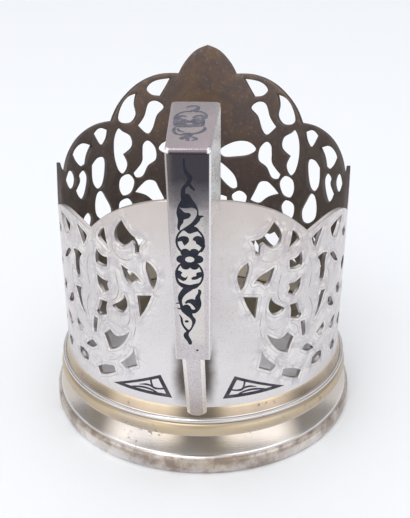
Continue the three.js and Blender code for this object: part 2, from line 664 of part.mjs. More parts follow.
addPiece('wall_shell', piercedWall(), silver);
addPiece('foot_upper_ring', upperRing(), gilt);
addPiece('foot_middle_ring', middleRing(), gilt);
addPiece('foot_rim_ring', footRim(), silver);
addPiece('floor_plate', floorPlate(), silver);
addHandle();
addPiece('handle_strut', strut(), silver);
addNiello();

export default model;
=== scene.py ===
import math
import bpy
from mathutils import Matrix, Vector, kdtree
from mathutils.geometry import delaunay_2d_cdt


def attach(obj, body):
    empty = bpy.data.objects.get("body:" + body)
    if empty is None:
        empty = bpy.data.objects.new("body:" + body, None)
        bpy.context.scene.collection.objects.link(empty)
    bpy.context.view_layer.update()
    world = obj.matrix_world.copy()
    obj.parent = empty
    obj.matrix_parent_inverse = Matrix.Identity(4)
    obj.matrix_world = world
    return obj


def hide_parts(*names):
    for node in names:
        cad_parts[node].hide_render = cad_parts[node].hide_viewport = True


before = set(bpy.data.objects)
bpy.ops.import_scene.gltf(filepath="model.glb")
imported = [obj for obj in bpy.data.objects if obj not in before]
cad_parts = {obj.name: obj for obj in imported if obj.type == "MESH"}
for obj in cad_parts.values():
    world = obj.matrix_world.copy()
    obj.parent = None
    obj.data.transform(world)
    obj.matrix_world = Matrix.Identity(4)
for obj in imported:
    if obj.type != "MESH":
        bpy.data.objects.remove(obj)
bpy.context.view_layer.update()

mm = 0.001
seat = 16.0  # floor plate's top above the table; heights in this file are above the table, in mm
bpy.ops.object.select_all(action='DESELECT')
print("frame loaded")


# Shader maths

class Wire:  # a shader socket that Python's arithmetic works on
    def __init__(self, tree, socket=None):
        self.tree = tree
        self.socket = socket

    def node(self, kind, settings=None, inputs=None, output=0):
        made = self.tree.nodes.new(kind)
        for name, value in (settings or {}).items():
            if name == 'stops':
                ramp = made.color_ramp
                while len(ramp.elements) < len(value):
                    ramp.elements.new(1.0)
                for element, (place, color) in zip(ramp.elements, value):
                    element.position = place
                    element.color = (*color, 1.0) if isinstance(color, tuple) else (color,) * 3 + (1.0,)
            else:
                setattr(made, name, value)
        for key, value in (inputs or {}).items():
            if isinstance(value, Wire):
                self.tree.links.new(value.socket, made.inputs[key])
            elif isinstance(value, tuple) and len(value) == 3 and made.inputs[key].type == 'RGBA':
                made.inputs[key].default_value = (*value, 1.0)
            else:
                made.inputs[key].default_value = value
        return Wire(self.tree, made.outputs[output]) if made.outputs else None

    def math(self, operation, *values):
        return self.node('ShaderNodeMath', {'operation': operation}, dict(enumerate(values)))

    def __add__(self, other):
        return self.math('ADD', self, other)

    def __radd__(self, other):
        return self.math('ADD', other, self)

    def __sub__(self, other):
        return self.math('SUBTRACT', self, other)

    def __rsub__(self, other):
        return self.math('SUBTRACT', other, self)

    def __mul__(self, other):
        return self.math('MULTIPLY', self, other)

    def __rmul__(self, other):
        return self.math('MULTIPLY', other, self)

    def __truediv__(self, other):
        return self.math('DIVIDE', self, other)

    def of(self, operation):
        return self.math(operation, self)

    def ramp(self, stops):
        return self.node('ShaderNodeValToRGB', {'stops': stops}, {0: self})

    def between(self, low, high):  # 0 below low, 1 above high, smooth between
        return self.node('ShaderNodeMapRange', {'interpolation_type': 'SMOOTHSTEP'},
                         {0: self, 1: low, 2: high, 3: 0.0, 4: 1.0})

    def below(self, low, high):  # 1 below low, 0 above high
        return 1.0 - self.between(low, high)

    def blendColor(self, first, second):  # this wire is the mask
        return self.node('ShaderNodeMix', {'data_type': 'RGBA'}, {0: self, 6: first, 7: second}, 2)


def startMaterial(name):
    material = bpy.data.materials.new(name)
    material.use_nodes = True
    tree = material.node_tree
    tree.nodes.clear()
    return material, Wire(tree)


def finishMaterial(wire, color, roughness, metallic, height, bumpDistance, specular=0.5):
    bump = wire.node('ShaderNodeBump', None, {'Strength': 1.0, 'Distance': bumpDistance, 'Height': height})
    shader = wire.node('ShaderNodeBsdfPrincipled', None, {
        'Base Color': color, 'Roughness': roughness, 'Metallic': metallic, 'Normal': bump,
        'Specular IOR Level': specular})
    wire.node('ShaderNodeOutputMaterial', None, {'Surface': shader})


def places(wire):  # the piece's own coordinates in mm
    spot = wire.node('ShaderNodeTexCoord', None, None, 3)
    return wire.node('ShaderNodeVectorMath', {'operation': 'SCALE'}, {0: spot, 'Scale': 1000.0})


def axes(spot):
    return [spot.node('ShaderNodeSeparateXYZ', None, {0: spot}, i) for i in range(3)]


def noise(spot, size, detail, roughness, distortion=0.0):  # blotches of about that size in mm
    return spot.node('ShaderNodeTexNoise', None, {
        'Vector': spot, 'Scale': 1.0 / size, 'Detail': detail, 'Roughness': roughness,
        'Distortion': distortion})


def stretched(spot, scale):
    return spot.node('ShaderNodeMapping', None, {'Vector': spot, 'Scale': scale})


def ragged(place, cloud, width):  # a place in mm that a noise moves to and fro
    return place + cloud * width - width / 2


# In the looks below a noise is (size in mm, detail, roughness, distortion). An edge, height, depth or side
# gives the two values between which a mark comes in or fades, in mm where it is a place on the piece.

wallLook = {
    'light': (0.715, 0.68, 0.68),
    'tarnish': (0.58, 0.54, 0.535),
    'pit': (0.22, 0.18, 0.165),
    # cream and shade near the openings are painted highlight and painted shade of the chased relief
    'reliefHighlight': (0.82, 0.79, 0.765),
    'shade': (0.50, 0.47, 0.495),
    'speckle': 0.22,
    'groove': 0.95,
    'roughness': 0.33,
    'scratchDepth': 0.012 * mm,
}
silverMarks = {
    'cloud': (16.0, 3.0, 0.5),
    'cloudEdge': (0.42, 0.66),
    'grain': (0.4, 4.0, 0.7),
    'sand': (0.3, 2.0, 0.5),
    'sandEdge': (0.5, 0.72),
    'speck': (0.7, 2.0, 0.6),
    'speckEdge': (0.69, 0.75),
    'speckCloud': (0.46, 0.6),
    'patch': (2.6, 3.0, 0.6, 1.0),
    'reliefHighlightEdge': (0.5, 0.64),
    'shadeEdge': (0.36, 0.5),
    'grooveEdge': (0.4, 0.6),
}


def silverMaterial(name, look, brushed=(1, 1, 1), engraved=False, tint=None, marks=silverMarks):
    material, wire = startMaterial(name)
    spot = places(wire)
    cloud = noise(spot, *marks['cloud'])
    grain = noise(stretched(spot, brushed), *marks['grain'])
    sand = noise(spot, *marks['sand']).between(*marks['sandEdge'])
    speck = noise(spot, *marks['speck']).between(*marks['speckEdge']) * cloud.between(*marks['speckCloud'])
    clouded = cloud.between(*marks['cloudEdge']) * 0.4 + grain * 0.3
    color = clouded.blendColor(look['light'], look['tarnish'])
    color = (sand * look['speckle']).blendColor(color, look['pit'])
    if tint:
        color = tint(spot, color)
    color = (speck * 0.6).blendColor(color, look['pit'])
    if engraved:
        groove = wire.node('ShaderNodeAttribute', {'attribute_name': 'groove'}, None, 2)
        carved = wire.node('ShaderNodeAttribute', {'attribute_name': 'carved'}, None, 2)
        # near the openings: painted highlight and painted shade for the chased relief, in patches laid out
        # at random
        patch = noise(spot, *marks['patch'])
        color = (carved * patch.between(*marks['reliefHighlightEdge']) * 0.8).blendColor(color, look['reliefHighlight'])
        color = (carved * patch.below(*marks['shadeEdge']) * 0.8).blendColor(color, look['shade'])
        depth = groove * (0.25 + patch.between(*marks['grooveEdge']) * 0.75)
        color = (depth * look['groove']).blendColor(color, look['pit'])
    roughness = look['roughness'] + cloud * 0.06 + grain * 0.1 + sand * 0.06 - 0.08
    height = grain * 0.7 + cloud * 1.5 - speck - sand * 0.4
    finishMaterial(wire, color, roughness, 1.0, height, look['scratchDepth'])
    return material


wallTintLook = {
    'cloud': (5.0, 3.0, 0.6),
    'warm': (0.57, 0.505, 0.47),  # near the panel's top
    'warmHeight': (30.0, 50.0),
    'warmDepth': (-24.0, -14.0),
    'warmShare': 0.85,
    'pale': (0.96, 0.94, 0.96),  # low on the panel
    'paleHeight': (8.0, 24.0),
    'paleDepth': (-30.0, -18.0),
    'paleShare': 0.3,
    'paintedShade': (0.10, 0.08, 0.07),  # painted shade beside the strut: the strut's dark reflection and the shade between strut and wall
    'paintedShadeShift': 0.6,  # its middle lies this far to the left
    'paintedShadeSide': (2.6, 5.6),
    'paintedShadeFoot': (-1.5, 6.0),
    'paintedShadeHead': (13.0, 20.0),
    'paintedShadeDepth': (-33.5, -29.0),
    'paintedShadeShare': 0.95,
}


def wallTint(spot, color, look=wallTintLook):
    x, y, z = axes(spot)
    cloud = noise(spot, *look['cloud'])
    warm = ragged(z, cloud, 12.0).between(*look['warmHeight']) * y.below(*look['warmDepth'])
    color = (warm * look['warmShare']).blendColor(color, look['warm'])
    pale = ragged(z, cloud, 10.0).below(*look['paleHeight']) * y.below(*look['paleDepth'])
    color = (pale * look['paleShare']).blendColor(color, look['pale'])
    # painted shade on the wall beside the strut
    side = ragged((x + look['paintedShadeShift']).of('ABSOLUTE'), cloud, 2.0).below(*look['paintedShadeSide'])
    reach = ragged(z, cloud, 6.0).between(*look['paintedShadeFoot']) * z.below(*look['paintedShadeHead'])
    paintedShade = side * reach * y.below(*look['paintedShadeDepth']) * look['paintedShadeShare']
    return paintedShade.blendColor(color, look['paintedShade'])


oxidisedLook = {
    'brown': (0.165, 0.125, 0.115),
    'rust': (0.225, 0.152, 0.108),
    'rubbedAndGlint': (0.42, 0.385, 0.33),
    'bare': (0.84, 0.79, 0.70),
    'roughness': 0.42,
    'metallic': 0.85,
    'scratchDepth': 0.02 * mm,
    'cloud': (9.0, 4.0, 0.6, 0.8),
    'fine': (0.9, 3.0, 0.6),
    'rustEdge': (0.4, 0.6),
    'medallionHeight': (34.0, 56.0),  # the brownest place
    'medallionDepth': (20.0, 31.0),
    'rubbedEdge': (0.52, 0.74),
    'rubbedCloud': (0.25, 0.6),
    'rubbedHeight': (8.0, 34.0),
    'rubbedAndGlintSide': (14.0, 33.0),
    'bareHeight': (3.0, 10.0),
}
cutLook = dict(oxidisedLook, brown=(0.085, 0.068, 0.068), rust=(0.10, 0.075, 0.06), rubbedAndGlint=(0.2, 0.18, 0.17))


def oxidisedMaterial(name, look):
    material, wire = startMaterial(name)
    spot = places(wire)
    cloud = noise(spot, *look['cloud'])
    fine = noise(spot, *look['fine'])
    x, y, z = axes(spot)
    medallion = z.between(*look['medallionHeight']) * y.between(*look['medallionDepth'])
    rust = cloud.between(*look['rustEdge']) * (0.15 + medallion * 0.85)
    color = rust.blendColor(look['brown'], look['rust'])
    color = (fine.between(*look['rubbedEdge']) * 0.3).blendColor(color, look['rubbedAndGlint'])
    low = z.below(*look['rubbedHeight'])
    side = x.of('ABSOLUTE').between(*look['rubbedAndGlintSide'])
    rubbedAndGlint = low.math('MAXIMUM', low, side * 0.35) * cloud.between(*look['rubbedCloud'])
    color = (rubbedAndGlint * 0.85).blendColor(color, look['rubbedAndGlint'])
    color = (z.below(*look['bareHeight']) * 0.8).blendColor(color, look['bare'])
    roughness = look['roughness'] + fine * 0.2 - rust * 0.05
    finishMaterial(wire, color, roughness, look['metallic'], fine + cloud * 2.0, look['scratchDepth'])
    return material


giltLook = {
    'gold': (0.56, 0.455, 0.315),
    'silver': (0.68, 0.645, 0.63),
    'tarnish': (0.20, 0.165, 0.155),
    'patch': (0.30, 0.23, 0.185),
    # flank: painted highlight, near-white silver on the lowest band's flanks
    'flank': (0.92, 0.89, 0.88),
    'inside': (0.50, 0.47, 0.42),
    'roughness': 0.13,
    'scratchDepth': 0.01 * mm,
    'cloud': (13.0, 3.0, 0.55),
    'cloudStretch': (1, 1, 0.6),
    'fine': (0.8, 3.0, 0.6),
    'fineStretch': (0.3, 0.3, 7),
    'wornEdge': (0.2, 0.85),
    'darkEdge': (0.15, 1.0),
    'insideRadius': (33.4, 34.4),
    'flankStart': (12.0, 24.0),
    'flankEnd': (26.0, 33.0),
    'patches': (6.0, 4.0, 0.7),
    'patchEdge': (0.38, 0.6),
    'spots': (1.4, 3.0, 0.6),
    'spotEdge': (0.6, 0.7),
    'spotCloud': (12.0, 3.0, 0.55),
    'spotCloudEdge': (0.5, 0.62),
    'drawnTop': 16.2,  # the shares and bands below are drawn from the table to this height
    'rimShare': (0.26, 0.29),
    'flankShare': (0.16, 0.22),
    'wearAndReflection': [(0.0, 0.8), (0.2, 0.45), (0.3, 0.8), (0.33, 0.6), (0.62, 0.5), (0.65, 0.2),
             (0.77, 0.3), (0.79, 0.95), (0.86, 0.95), (0.87, 0.1), (1.0, 0.0)],
    'dark': [(0.0, 0.35), (0.27, 0.3), (0.3, 0.1), (0.33, 0.3), (0.5, 0.4), (0.6, 0.5), (0.635, 0.35),
             (0.78, 0.3), (0.8, 0.2), (0.86, 0.25), (0.87, 0.7), (0.97, 0.55), (1.0, 0.1)],
    'dull': [(0.0, 0.12), (0.2, 0.12), (0.24, 0.24), (0.275, 0.2), (0.285, 0.0), (0.61, 0.0),
             (0.64, 0.22), (0.77, 0.22), (0.79, 0.05), (1.0, 0.03)],
}


def giltMaterial(name, look):
    material, wire = startMaterial(name)
    spot = places(wire)
    x, y, z = axes(spot)
    share = (z + seat) / look['drawnTop']
    cloud = noise(stretched(spot, look['cloudStretch']), *look['cloud'])
    fine = noise(stretched(spot, look['fineStretch']), *look['fine'])
    wearAndReflection = (share.ramp(look['wearAndReflection']) + (cloud - 0.5) * 0.8 + (fine - 0.5) * 0.3).between(*look['wornEdge'])
    color = wearAndReflection.blendColor(look['gold'], look['silver'])
    dark = (share.ramp(look['dark']) + (cloud - 0.5) * 0.9 + (fine - 0.5) * 0.2).between(*look['darkEdge'])
    color = (dark * 0.8).blendColor(color, look['tarnish'])
    inner = (x * x + y * y).of('SQRT').below(*look['insideRadius'])
    color = inner.blendColor(color, look['inside'])
    lower = share.below(*look['rimShare'])
    wide = x.of('ABSOLUTE')
    # painted highlight on both flanks of the lowest band, with fewer tarnish patches under it
    flank = wide.between(*look['flankStart']) * wide.below(*look['flankEnd'])
    flank = flank * share.below(*look['flankShare'])
    color = (flank * 0.7).blendColor(color, look['flank'])
    patches = noise(spot, *look['patches']).between(*look['patchEdge']) * (0.9 - flank * 0.6)
    color = (lower * patches).blendColor(color, look['patch'])
    clouds = noise(spot, *look['spotCloud']).between(*look['spotCloudEdge'])
    spots = noise(spot, *look['spots']).between(*look['spotEdge']) * clouds
    color = (spots * 0.6).blendColor(color, look['tarnish'])
    roughness = look['roughness'] + share.ramp(look['dull']) + fine * 0.08 + spots * 0.2
    finishMaterial(wire, color, roughness, 1.0, fine * 0.6 + cloud * 2.0, look['scratchDepth'])
    return material


nielloLook = {
    'blue': (0.008, 0.010, 0.020),
    'grey': (0.026, 0.027, 0.042),
    'wearAndReflection': (0.33, 0.31, 0.35),
    'roughness': 0.45,
    'metallic': 0.2,
    'specular': 0.25,
    'scratchDepth': 0.01 * mm,
    'cloud': (2.2, 3.0, 0.6),
    'cloudEdge': (0.4, 0.7),
    'fine': (0.3, 2.0, 0.6),
    'rubbing': (0.8, 3.0, 0.6),
    'rubbingEdge': (0.5, 0.85),
}
softNielloLook = dict(nielloLook, blue=(0.035, 0.033, 0.045), grey=(0.10, 0.095, 0.11))
fadedNielloLook = dict(nielloLook, blue=(0.085, 0.085, 0.115), grey=(0.15, 0.15, 0.19))


def nielloMaterial(name, look, faded=0.0):
    material, wire = startMaterial(name)
    spot = places(wire)
    cloud = noise(spot, *look['cloud'])
    fine = noise(spot, *look['fine'])
    color = (cloud.between(*look['cloudEdge']) * 0.7 + fine * 0.2).blendColor(look['blue'], look['grey'])
    if faded:
        bare = (noise(spot, *look['rubbing']) + faded).between(*look['rubbingEdge'])
        color = (bare * 0.7).blendColor(color, look['wearAndReflection'])
    finishMaterial(wire, color, look['roughness'] + fine * 0.15, look['metallic'], fine + cloud,
                   look['scratchDepth'], look['specular'])
    return material


# Modelling helpers

def activate(piece):
    bpy.ops.object.select_all(action='DESELECT')
    piece.select_set(True)
    bpy.context.view_layer.objects.active = piece


def editAll(piece):
    activate(piece)
    bpy.ops.object.mode_set(mode='EDIT')
    bpy.ops.mesh.select_all(action='SELECT')


def leaveEdit():
    bpy.ops.object.mode_set(mode='OBJECT')


def outlineLoop(name, points, filled):  # a ring of points that starts as a circle
    kind = 'NGON' if filled else 'NOTHING'
    bpy.ops.mesh.primitive_circle_add(vertices=len(points), radius=mm, fill_type=kind)
    piece = bpy.context.active_object
    piece.name = name
    piece.data.name = name
    for vertex, point in zip(piece.data.vertices, points):
        vertex.co = (*point, 0.0)[:3]
    return piece


def applyModifier(piece, kind, **settings):
    activate(piece)
    modifier = piece.modifiers.new(kind.lower(), kind)
    for name, value in settings.items():
        setattr(modifier, name, value)
    bpy.ops.object.modifier_apply(modifier=modifier.name)


def smoothEdges(piece, degrees=35):
    activate(piece)
    bpy.ops.object.shade_smooth_by_angle(angle=math.radians(degrees))


def repaired(piece):
    editAll(piece)
    bpy.ops.mesh.remove_doubles(threshold=1e-6)
    bpy.ops.mesh.normals_make_consistent(inside=False)
    leaveEdit()


def finished(piece, nodes, slot, *materials):
    for material in materials:
        piece.data.materials.append(material)
    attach(piece, "root")
    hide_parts(*nodes)
    return piece


def meshPiece(name, points, faces):
    mesh = bpy.data.meshes.new(name)
    mesh.from_pydata(points, [], faces)
    piece = bpy.data.objects.new(name, mesh)
    bpy.context.scene.collection.objects.link(piece)
    return piece


def bevelled(piece, width, segments=2):
    applyModifier(piece, 'BEVEL', width=width * mm, segments=segments, limit_method='ANGLE',
                  angle_limit=math.radians(40), use_clamp_overlap=True)


def slab(name, outline, depth, place, bevel, segments=2):  # an outline extruded, placed and bevelled
    piece = outlineLoop(name, outline, True)
    editAll(piece)
    bpy.ops.mesh.extrude_region_move(TRANSFORM_OT_translate={"value": (0, 0, depth)})
    leaveEdit()
    for vertex in piece.data.vertices:
        vertex.co = Vector(place(*vertex.co)) * mm
    repaired(piece)
    bevelled(piece, bevel, segments)
    smoothEdges(piece)
    return piece


def turned(name, profile, steps):  # a closed profile of (radius, height) spun round the cup's axis
    points = [(radius * mm, 0.0, (height - seat) * mm) for radius, height in profile]
    piece = outlineLoop(name, points, False)
    editAll(piece)
    bpy.ops.mesh.spin(steps=steps, angle=2 * math.pi, center=(0, 0, 0), axis=(0, 0, 1))
    leaveEdit()
    repaired(piece)
    smoothEdges(piece, 40)
    return piece


def arcPoints(centre, radii, first, last, steps):
    angles = [math.radians(first + (last - first) * i / steps) for i in range(steps + 1)]
    return [(centre[0] + radii[0] * math.cos(a), centre[1] + radii[1] * math.sin(a)) for a in angles]


def splineRun(points, step, closed=False):  # smooth run through 2-D points, about one step apart
    count = len(points)
    run = []
    for i in range(count if closed else count - 1):
        here, there = points[i], points[(i + 1) % count]
        after = points[(i + 2) % count] if closed or i + 2 < count else None
        before = points[i - 1] if closed or i > 0 else None
        if before is None:
            before = 2.5 * here - 2 * there + 0.5 * after if after else 2 * here - there
        if after is None:
            after = 2.5 * there - 2 * here + 0.5 * before if i > 0 else 2 * there - here
        parts = max(1, round((there - here).length / step))
        for k in range(parts):
            t = k / parts
            run.append(0.5 * (2 * here + (there - before) * t
                              + (2 * before - 5 * here + 4 * there - after) * t * t
                              + (3 * here - before - 3 * there + after) * t ** 3))
    return run if closed else run + [points[-1].copy()]


def smoothOutline(points, step):  # a point with a third value is a sharp corner
    spots = [Vector(point[:2]) for point in points]
    corners = [i for i, point in enumerate(points) if len(point) == 3]
    if not corners:
        return splineRun(spots, step, closed=True)
    outline = []
    for first, last in zip(corners, corners[1:] + [corners[0] + len(points)]):
        outline += splineRun([spots[i % len(points)] for i in range(first, last + 1)], step)[:-1]
    return outline


def signedArea(outline):
    return sum(a.x * b.y - b.x * a.y for a, b in zip(outline, outline[1:] + outline[:1])) / 2


def denseTree(lines, gap):  # lines: (points, closed)
    spots = []
    for points, closed in lines:
        pairs = zip(points, points[1:] + points[:1]) if closed else zip(points, points[1:])
        for a, b in pairs:
            parts = max(1, math.ceil((b - a).length / gap))
            spots += [a.lerp(b, k / parts) for k in range(parts)]
    tree = kdtree.KDTree(len(spots))
    for i, spot in enumerate(spots):
        tree.insert((spot.x, spot.y, 0.0), i)
    tree.balance()
    return tree


def distanceTo(tree, spot):
    return tree.find((spot[0], spot[1], 0.0))[2]


# The pierced wall
# It is drawn unrolled: s along the wall from the handle's middle line to the medallion's,
# h above the table, in mm. A point with a third value is a corner.

wallSize = {
    'radius': 35.0,
    'sheet': 1.0,
    'halfRound': 110.0,
    'bottom': 16.2,
    'edgeWidth': 0.16,
    'edgeDrop': 0.10,
    'innerDrop': 0.6,  # the inner edge is rounded by this share of the outer one's drop
    'grooveAt': 0.72,
    'outlineShare': 0.5,  # grooves along the openings against the leaves' veins
    'carvedEnd': 2.6,  # chasing ends this far from the openings
    'grooveWidth': 0.16,
    'grooveDepth': 0.045,
    'plainFoot': 0.6,  # no groove in this lowest band
    'farSide': 46.0,  # from here on the cut edges are as dark as the inside
    'step': 0.5,
    'nearness': 0.05,  # gap of the points from which distances are taken
    'margin': 0.05,  # grooves keep this far from the seams and the lower edge
    'rimMargin': 0.25,
    'seams': [(0.0, 65), (110.0, 83)],  # s of the wall's two ends, and the top of the points up them
    'columns': 88,  # points of the plain ground: columns over half the round, rows above the lower edge
    'rows': 34,
    'rowStep': 2.0,
    'groundGap': 1.1,  # they keep this far from the openings
}

rimArches = [
    [(0, 65.7), (9.2, 64.9), (18.3, 61.4), (26, 55.4)],
    [(26, 55.4), (30, 56.6), (35, 57.2), (41, 56.2), (47.6, 53.4)],
    [(47.6, 53.4), (50.4, 57.4), (52.4, 62.6)],
    [(52.4, 62.6), (55, 60), (58.2, 58.3)],
    [(58.2, 58.3), (62, 61.6), (68, 64.3), (75, 65.7), (81.2, 65.6)],
    [(81.2, 65.6), (84.4, 70.1), (90, 74.2), (96, 76.2), (102, 76.2)],
    [(102, 76.2), (103.8, 79.2), (106.6, 82.1), (110, 83.6)],
]

panelHoles = [
    [(16.4, 59.8, 1), (17.8, 58), (18.4, 56.2), (17.9, 54.5), (16.6, 53.9), (15.3, 54.5),
     (14.4, 55.3, 1), (13.5, 54.9), (13.4, 52.8, 1), (12.4, 52.8, 1), (12.2, 54.8), (11.3, 56.3, 1),
     (13.4, 56.5), (15, 57.8)],
    [(21.2, 57, 1), (22.4, 56), (23.2, 54.4), (21.9, 53.2), (20.1, 52.1, 1), (20.8, 54.5)],
    [(20.8, 50.2, 1), (22.6, 50.3), (23.9, 51.4, 1), (24.4, 49.8), (24.4, 48, 1), (22.4, 47.8),
     (20.9, 48.2, 1)],
    [(20.8, 44.5, 1), (22.6, 44.5), (24.2, 45.2, 1), (24, 43), (22.7, 41.2, 1), (20.7, 42.4, 1),
     (21.2, 43.5)],
    [(21.5, 39.2, 1), (23.7, 39.1, 1), (24.3, 37.4), (25.1, 35.7, 1), (24.3, 35.1), (21.8, 36, 1),
     (21.9, 37.6)],
    [(25, 33.8, 1), (26.2, 33.9, 1), (26.7, 31.8), (26.7, 29.9, 1), (25.8, 30, 1), (25.4, 31.8)],
    [(10.8, 51.4, 1), (9.3, 50.2), (8.5, 48.2), (9.3, 45.1, 1), (10.1, 46.4), (10.6, 48.2), (11, 49.7)],
    [(17, 49.4, 1), (15, 48.5), (13.5, 47.8), (12.1, 46.2, 1), (13.6, 46.4), (14.9, 45.2, 1),
     (16, 46.4)],
    [(9.9, 43.5, 1), (13.3, 42.9, 1), (13, 40.4), (12.8, 37.8, 1), (11.2, 40.4)],
    [(16.5, 42.4, 1), (17.3, 40.8), (20, 38.9, 1), (19.2, 37.9), (17.2, 37.9), (16, 39.4), (16, 41)],
]
panelLowHoles = [
    [(15.7, 33.3, 1), (17.4, 31.9), (19.4, 31.3), (21.2, 32.4, 1), (23, 30.6, 1), (22.1, 28.8),
     (21.6, 27.1, 1), (19, 28.4), (17, 30.6)],
    [(14.7, 29.3, 1), (15.6, 27.4), (18.4, 24.5, 1), (17.2, 23.4, 1), (14, 25.1, 1), (14.4, 27)],
    [(20.5, 22.9, 1), (23.2, 22.2), (26, 20.6, 1), (25.2, 18.9, 1), (22.6, 20), (20.1, 21.5, 1)],
]
sideHoles = [
    [(27, 53.6, 1), (28.6, 54.5), (30.8, 55.2, 1), (29.7, 53.2), (28.7, 51.1, 1), (27.7, 52)],
    [(34.2, 53.9, 1), (37, 54.7), (40.8, 54.8, 1), (40, 52.8), (37.6, 50.7, 1), (35.4, 51.4)],
    [(29.5, 48.3, 1), (31.6, 48.7), (33.4, 48.1, 1), (32.7, 46.4), (32.8, 43.9), (32.2, 41.9),
     (30.8, 42.3), (30.9, 44.6), (30.6, 46.8)],
    [(34.9, 47.3, 1), (36.8, 47), (40, 43.7, 1), (37.6, 44.7)],
    [(30.8, 39.5, 1), (33.6, 38.8, 1), (32.6, 37), (31.6, 34.8), (29.7, 32.9, 1), (30.6, 35.4),
     (31.2, 37.6)],
    [(41.8, 50.4, 1), (44.2, 50.9), (45.6, 49, 1), (43.4, 48.4)],
    [(40.2, 36.8, 1), (42.4, 36.9), (44.2, 34.8, 1), (41.6, 34.4)],
    [(43.4, 41.6, 1), (46, 42.4), (48.4, 40.8, 1), (45.4, 38.8)],
    [(50.6, 42.2, 1), (53, 42.6), (55, 40.2, 1), (53.2, 37.6, 1)],
    [(57.4, 41.8, 1), (59.8, 41.8), (62.2, 39.4, 1), (59.2, 37.4)],
    [(46, 34.6, 1), (48.6, 35.2), (50.4, 33.6, 1), (48.4, 31)],
    [(53, 33.4), (55.4, 35), (57.6, 32.8), (55.2, 30.2)],
    [(60.2, 34.2, 1), (63, 34), (64.6, 31, 1), (61.6, 30.8)],
    [(43.4, 25.8, 1), (46, 26.8), (48.4, 25.4, 1), (46.2, 23.4)],
    [(51, 27.6, 1), (54, 27), (56.4, 24.8, 1), (53.4, 23.4)],
    [(59, 27.8, 1), (61.4, 27.2), (63.8, 24.6, 1), (60.6, 23.9)],
    [(38.6, 21.6, 1), (41.4, 21.8), (43, 20, 1), (40.2, 19.4)],
    [(48.4, 20.8, 1), (51, 21.2), (53.4, 19.6, 1), (50.4, 18.9)],
    [(58.4, 21.4, 1), (61.4, 21.6), (63.8, 19.8, 1), (60.6, 19.2)],
]
sideLowHoles = [
    [(35.4, 35.9, 1), (37.2, 35.3), (39.2, 32.6, 1), (37.4, 32.9), (35.6, 34.2)],
    [(31, 28.8, 1), (32.4, 29.4), (33.8, 30.3, 1), (34.4, 28.6), (32.6, 27.3)],
    [(25.9, 26.3, 1), (27.6, 27.1), (30.2, 25, 1), (27.8, 25.1)],
    [(29.8, 22.3, 1), (31.8, 22.9), (33.9, 22.4, 1), (33.9, 20.8, 1), (31.8, 20.3), (29.8, 20.6, 1)],
    [(37.2, 27.4, 1), (39, 28.8), (41.2, 29, 1), (40.2, 27), (38.6, 26.3)],
]
middleHoles = [
    [(63.6, 61.1, 1), (65.6, 62.2), (69, 62.5), (73.3, 60.8, 1), (71.4, 58.8), (70.4, 56.5, 1),
     (68, 56.6), (65.4, 58.6)],
    [(74.2, 63.8, 1), (76.6, 64.7), (79.8, 63.4, 1), (79.2, 61.4), (78, 60, 1), (76.4, 60.4)],
    [(72.6, 55.6, 1), (75.4, 57), (78.2, 55.9), (78.1, 52), (76.8, 48.7), (74.6, 48.4), (72.6, 51)],
    [(74.2, 47.3), (76.4, 47.2), (78.2, 44.4), (79.8, 40.8), (79, 38.2), (76.4, 38.6), (73.4, 41.2),
     (73, 44.6)],
    [(66.4, 54.8), (69, 55.3), (70.9, 53), (70, 49.6), (68, 47.6), (65.6, 49), (64.1, 51.3, 1),
     (66.6, 53)],
    [(57.6, 56.4, 1), (60.6, 57.7), (63.6, 56.6), (64.9, 54.2), (63.4, 52.3), (60, 53.4)],
    [(67.2, 42.4), (69.8, 43.2), (71.6, 41), (70.4, 38.4), (67.8, 38.2), (66.6, 40.2)],
]
tallHoles = [
    [(83.3, 66), (84.4, 69), (86.6, 71.2), (89.6, 71.9, 1), (88.9, 69), (89.3, 66), (87.6, 64.1),
     (84.8, 64.5)],
    [(92.6, 72.8), (94.8, 74.6), (99.6, 75.1, 1), (98.2, 72.8), (96.6, 70.4, 1), (94.2, 71)],
    [(93, 68.8), (95.4, 69.2), (97.6, 67.2), (95.6, 65), (94.2, 61.4), (92.6, 60.3), (89.6, 63.1, 1),
     (91.6, 65.4)],
    [(81.6, 60.6), (83.2, 63.3), (85, 62), (87.4, 60.2), (87.7, 57.4), (84.9, 55.6, 1), (86.1, 52.4),
     (84.6, 50.2), (82.6, 51.8), (81.4, 56)],
    [(91, 57.6), (92.6, 58.4), (94.8, 56), (95, 52.6), (92.6, 51), (90.8, 48.2), (88.6, 48.3),
     (87.6, 49.9, 1), (90.4, 52.6), (90.7, 55.4)],
    [(83.2, 49.2), (86, 49.8), (88.1, 47.2), (86.8, 44), (84, 43.9), (82.6, 46.4)],
    [(82.6, 42.4), (85.4, 42.8), (87.2, 40.4), (86, 37.6), (83.4, 37.6), (82.2, 40)],
    [(87.8, 44.1, 1), (89.8, 45.8), (92, 47), (94.4, 46.2), (95.8, 43.4), (97.2, 40.4, 1), (94.4, 40),
     (91.6, 42.4)],
    [(95.7, 55.9), (98, 57.7), (102, 57.4), (106.3, 54.9), (105.4, 52.7), (101.4, 53), (98, 53.9)],
    [(101.2, 44.2), (101.9, 47.2), (104.4, 49.8), (107.8, 52.3, 1), (107.6, 48.8), (105.4, 45.4),
     (102.8, 43.3)],
    [(98.2, 41.6), (100.4, 43), (102.8, 41.2), (101.6, 38.6), (99.2, 38.6)],
    [(99.6, 34.4, 1), (102.6, 34.2), (104.6, 31.6, 1), (101.2, 31)],
    [(104.2, 40.8, 1), (106.8, 41), (107.6, 37.6, 1), (104.8, 38)],
    [(77, 35.6, 1), (79.2, 36), (80.4, 33.4, 1), (78, 32.6)],
    [(66.4, 21.6, 1), (69.4, 22), (72.4, 20, 1), (69, 19.4)],
]
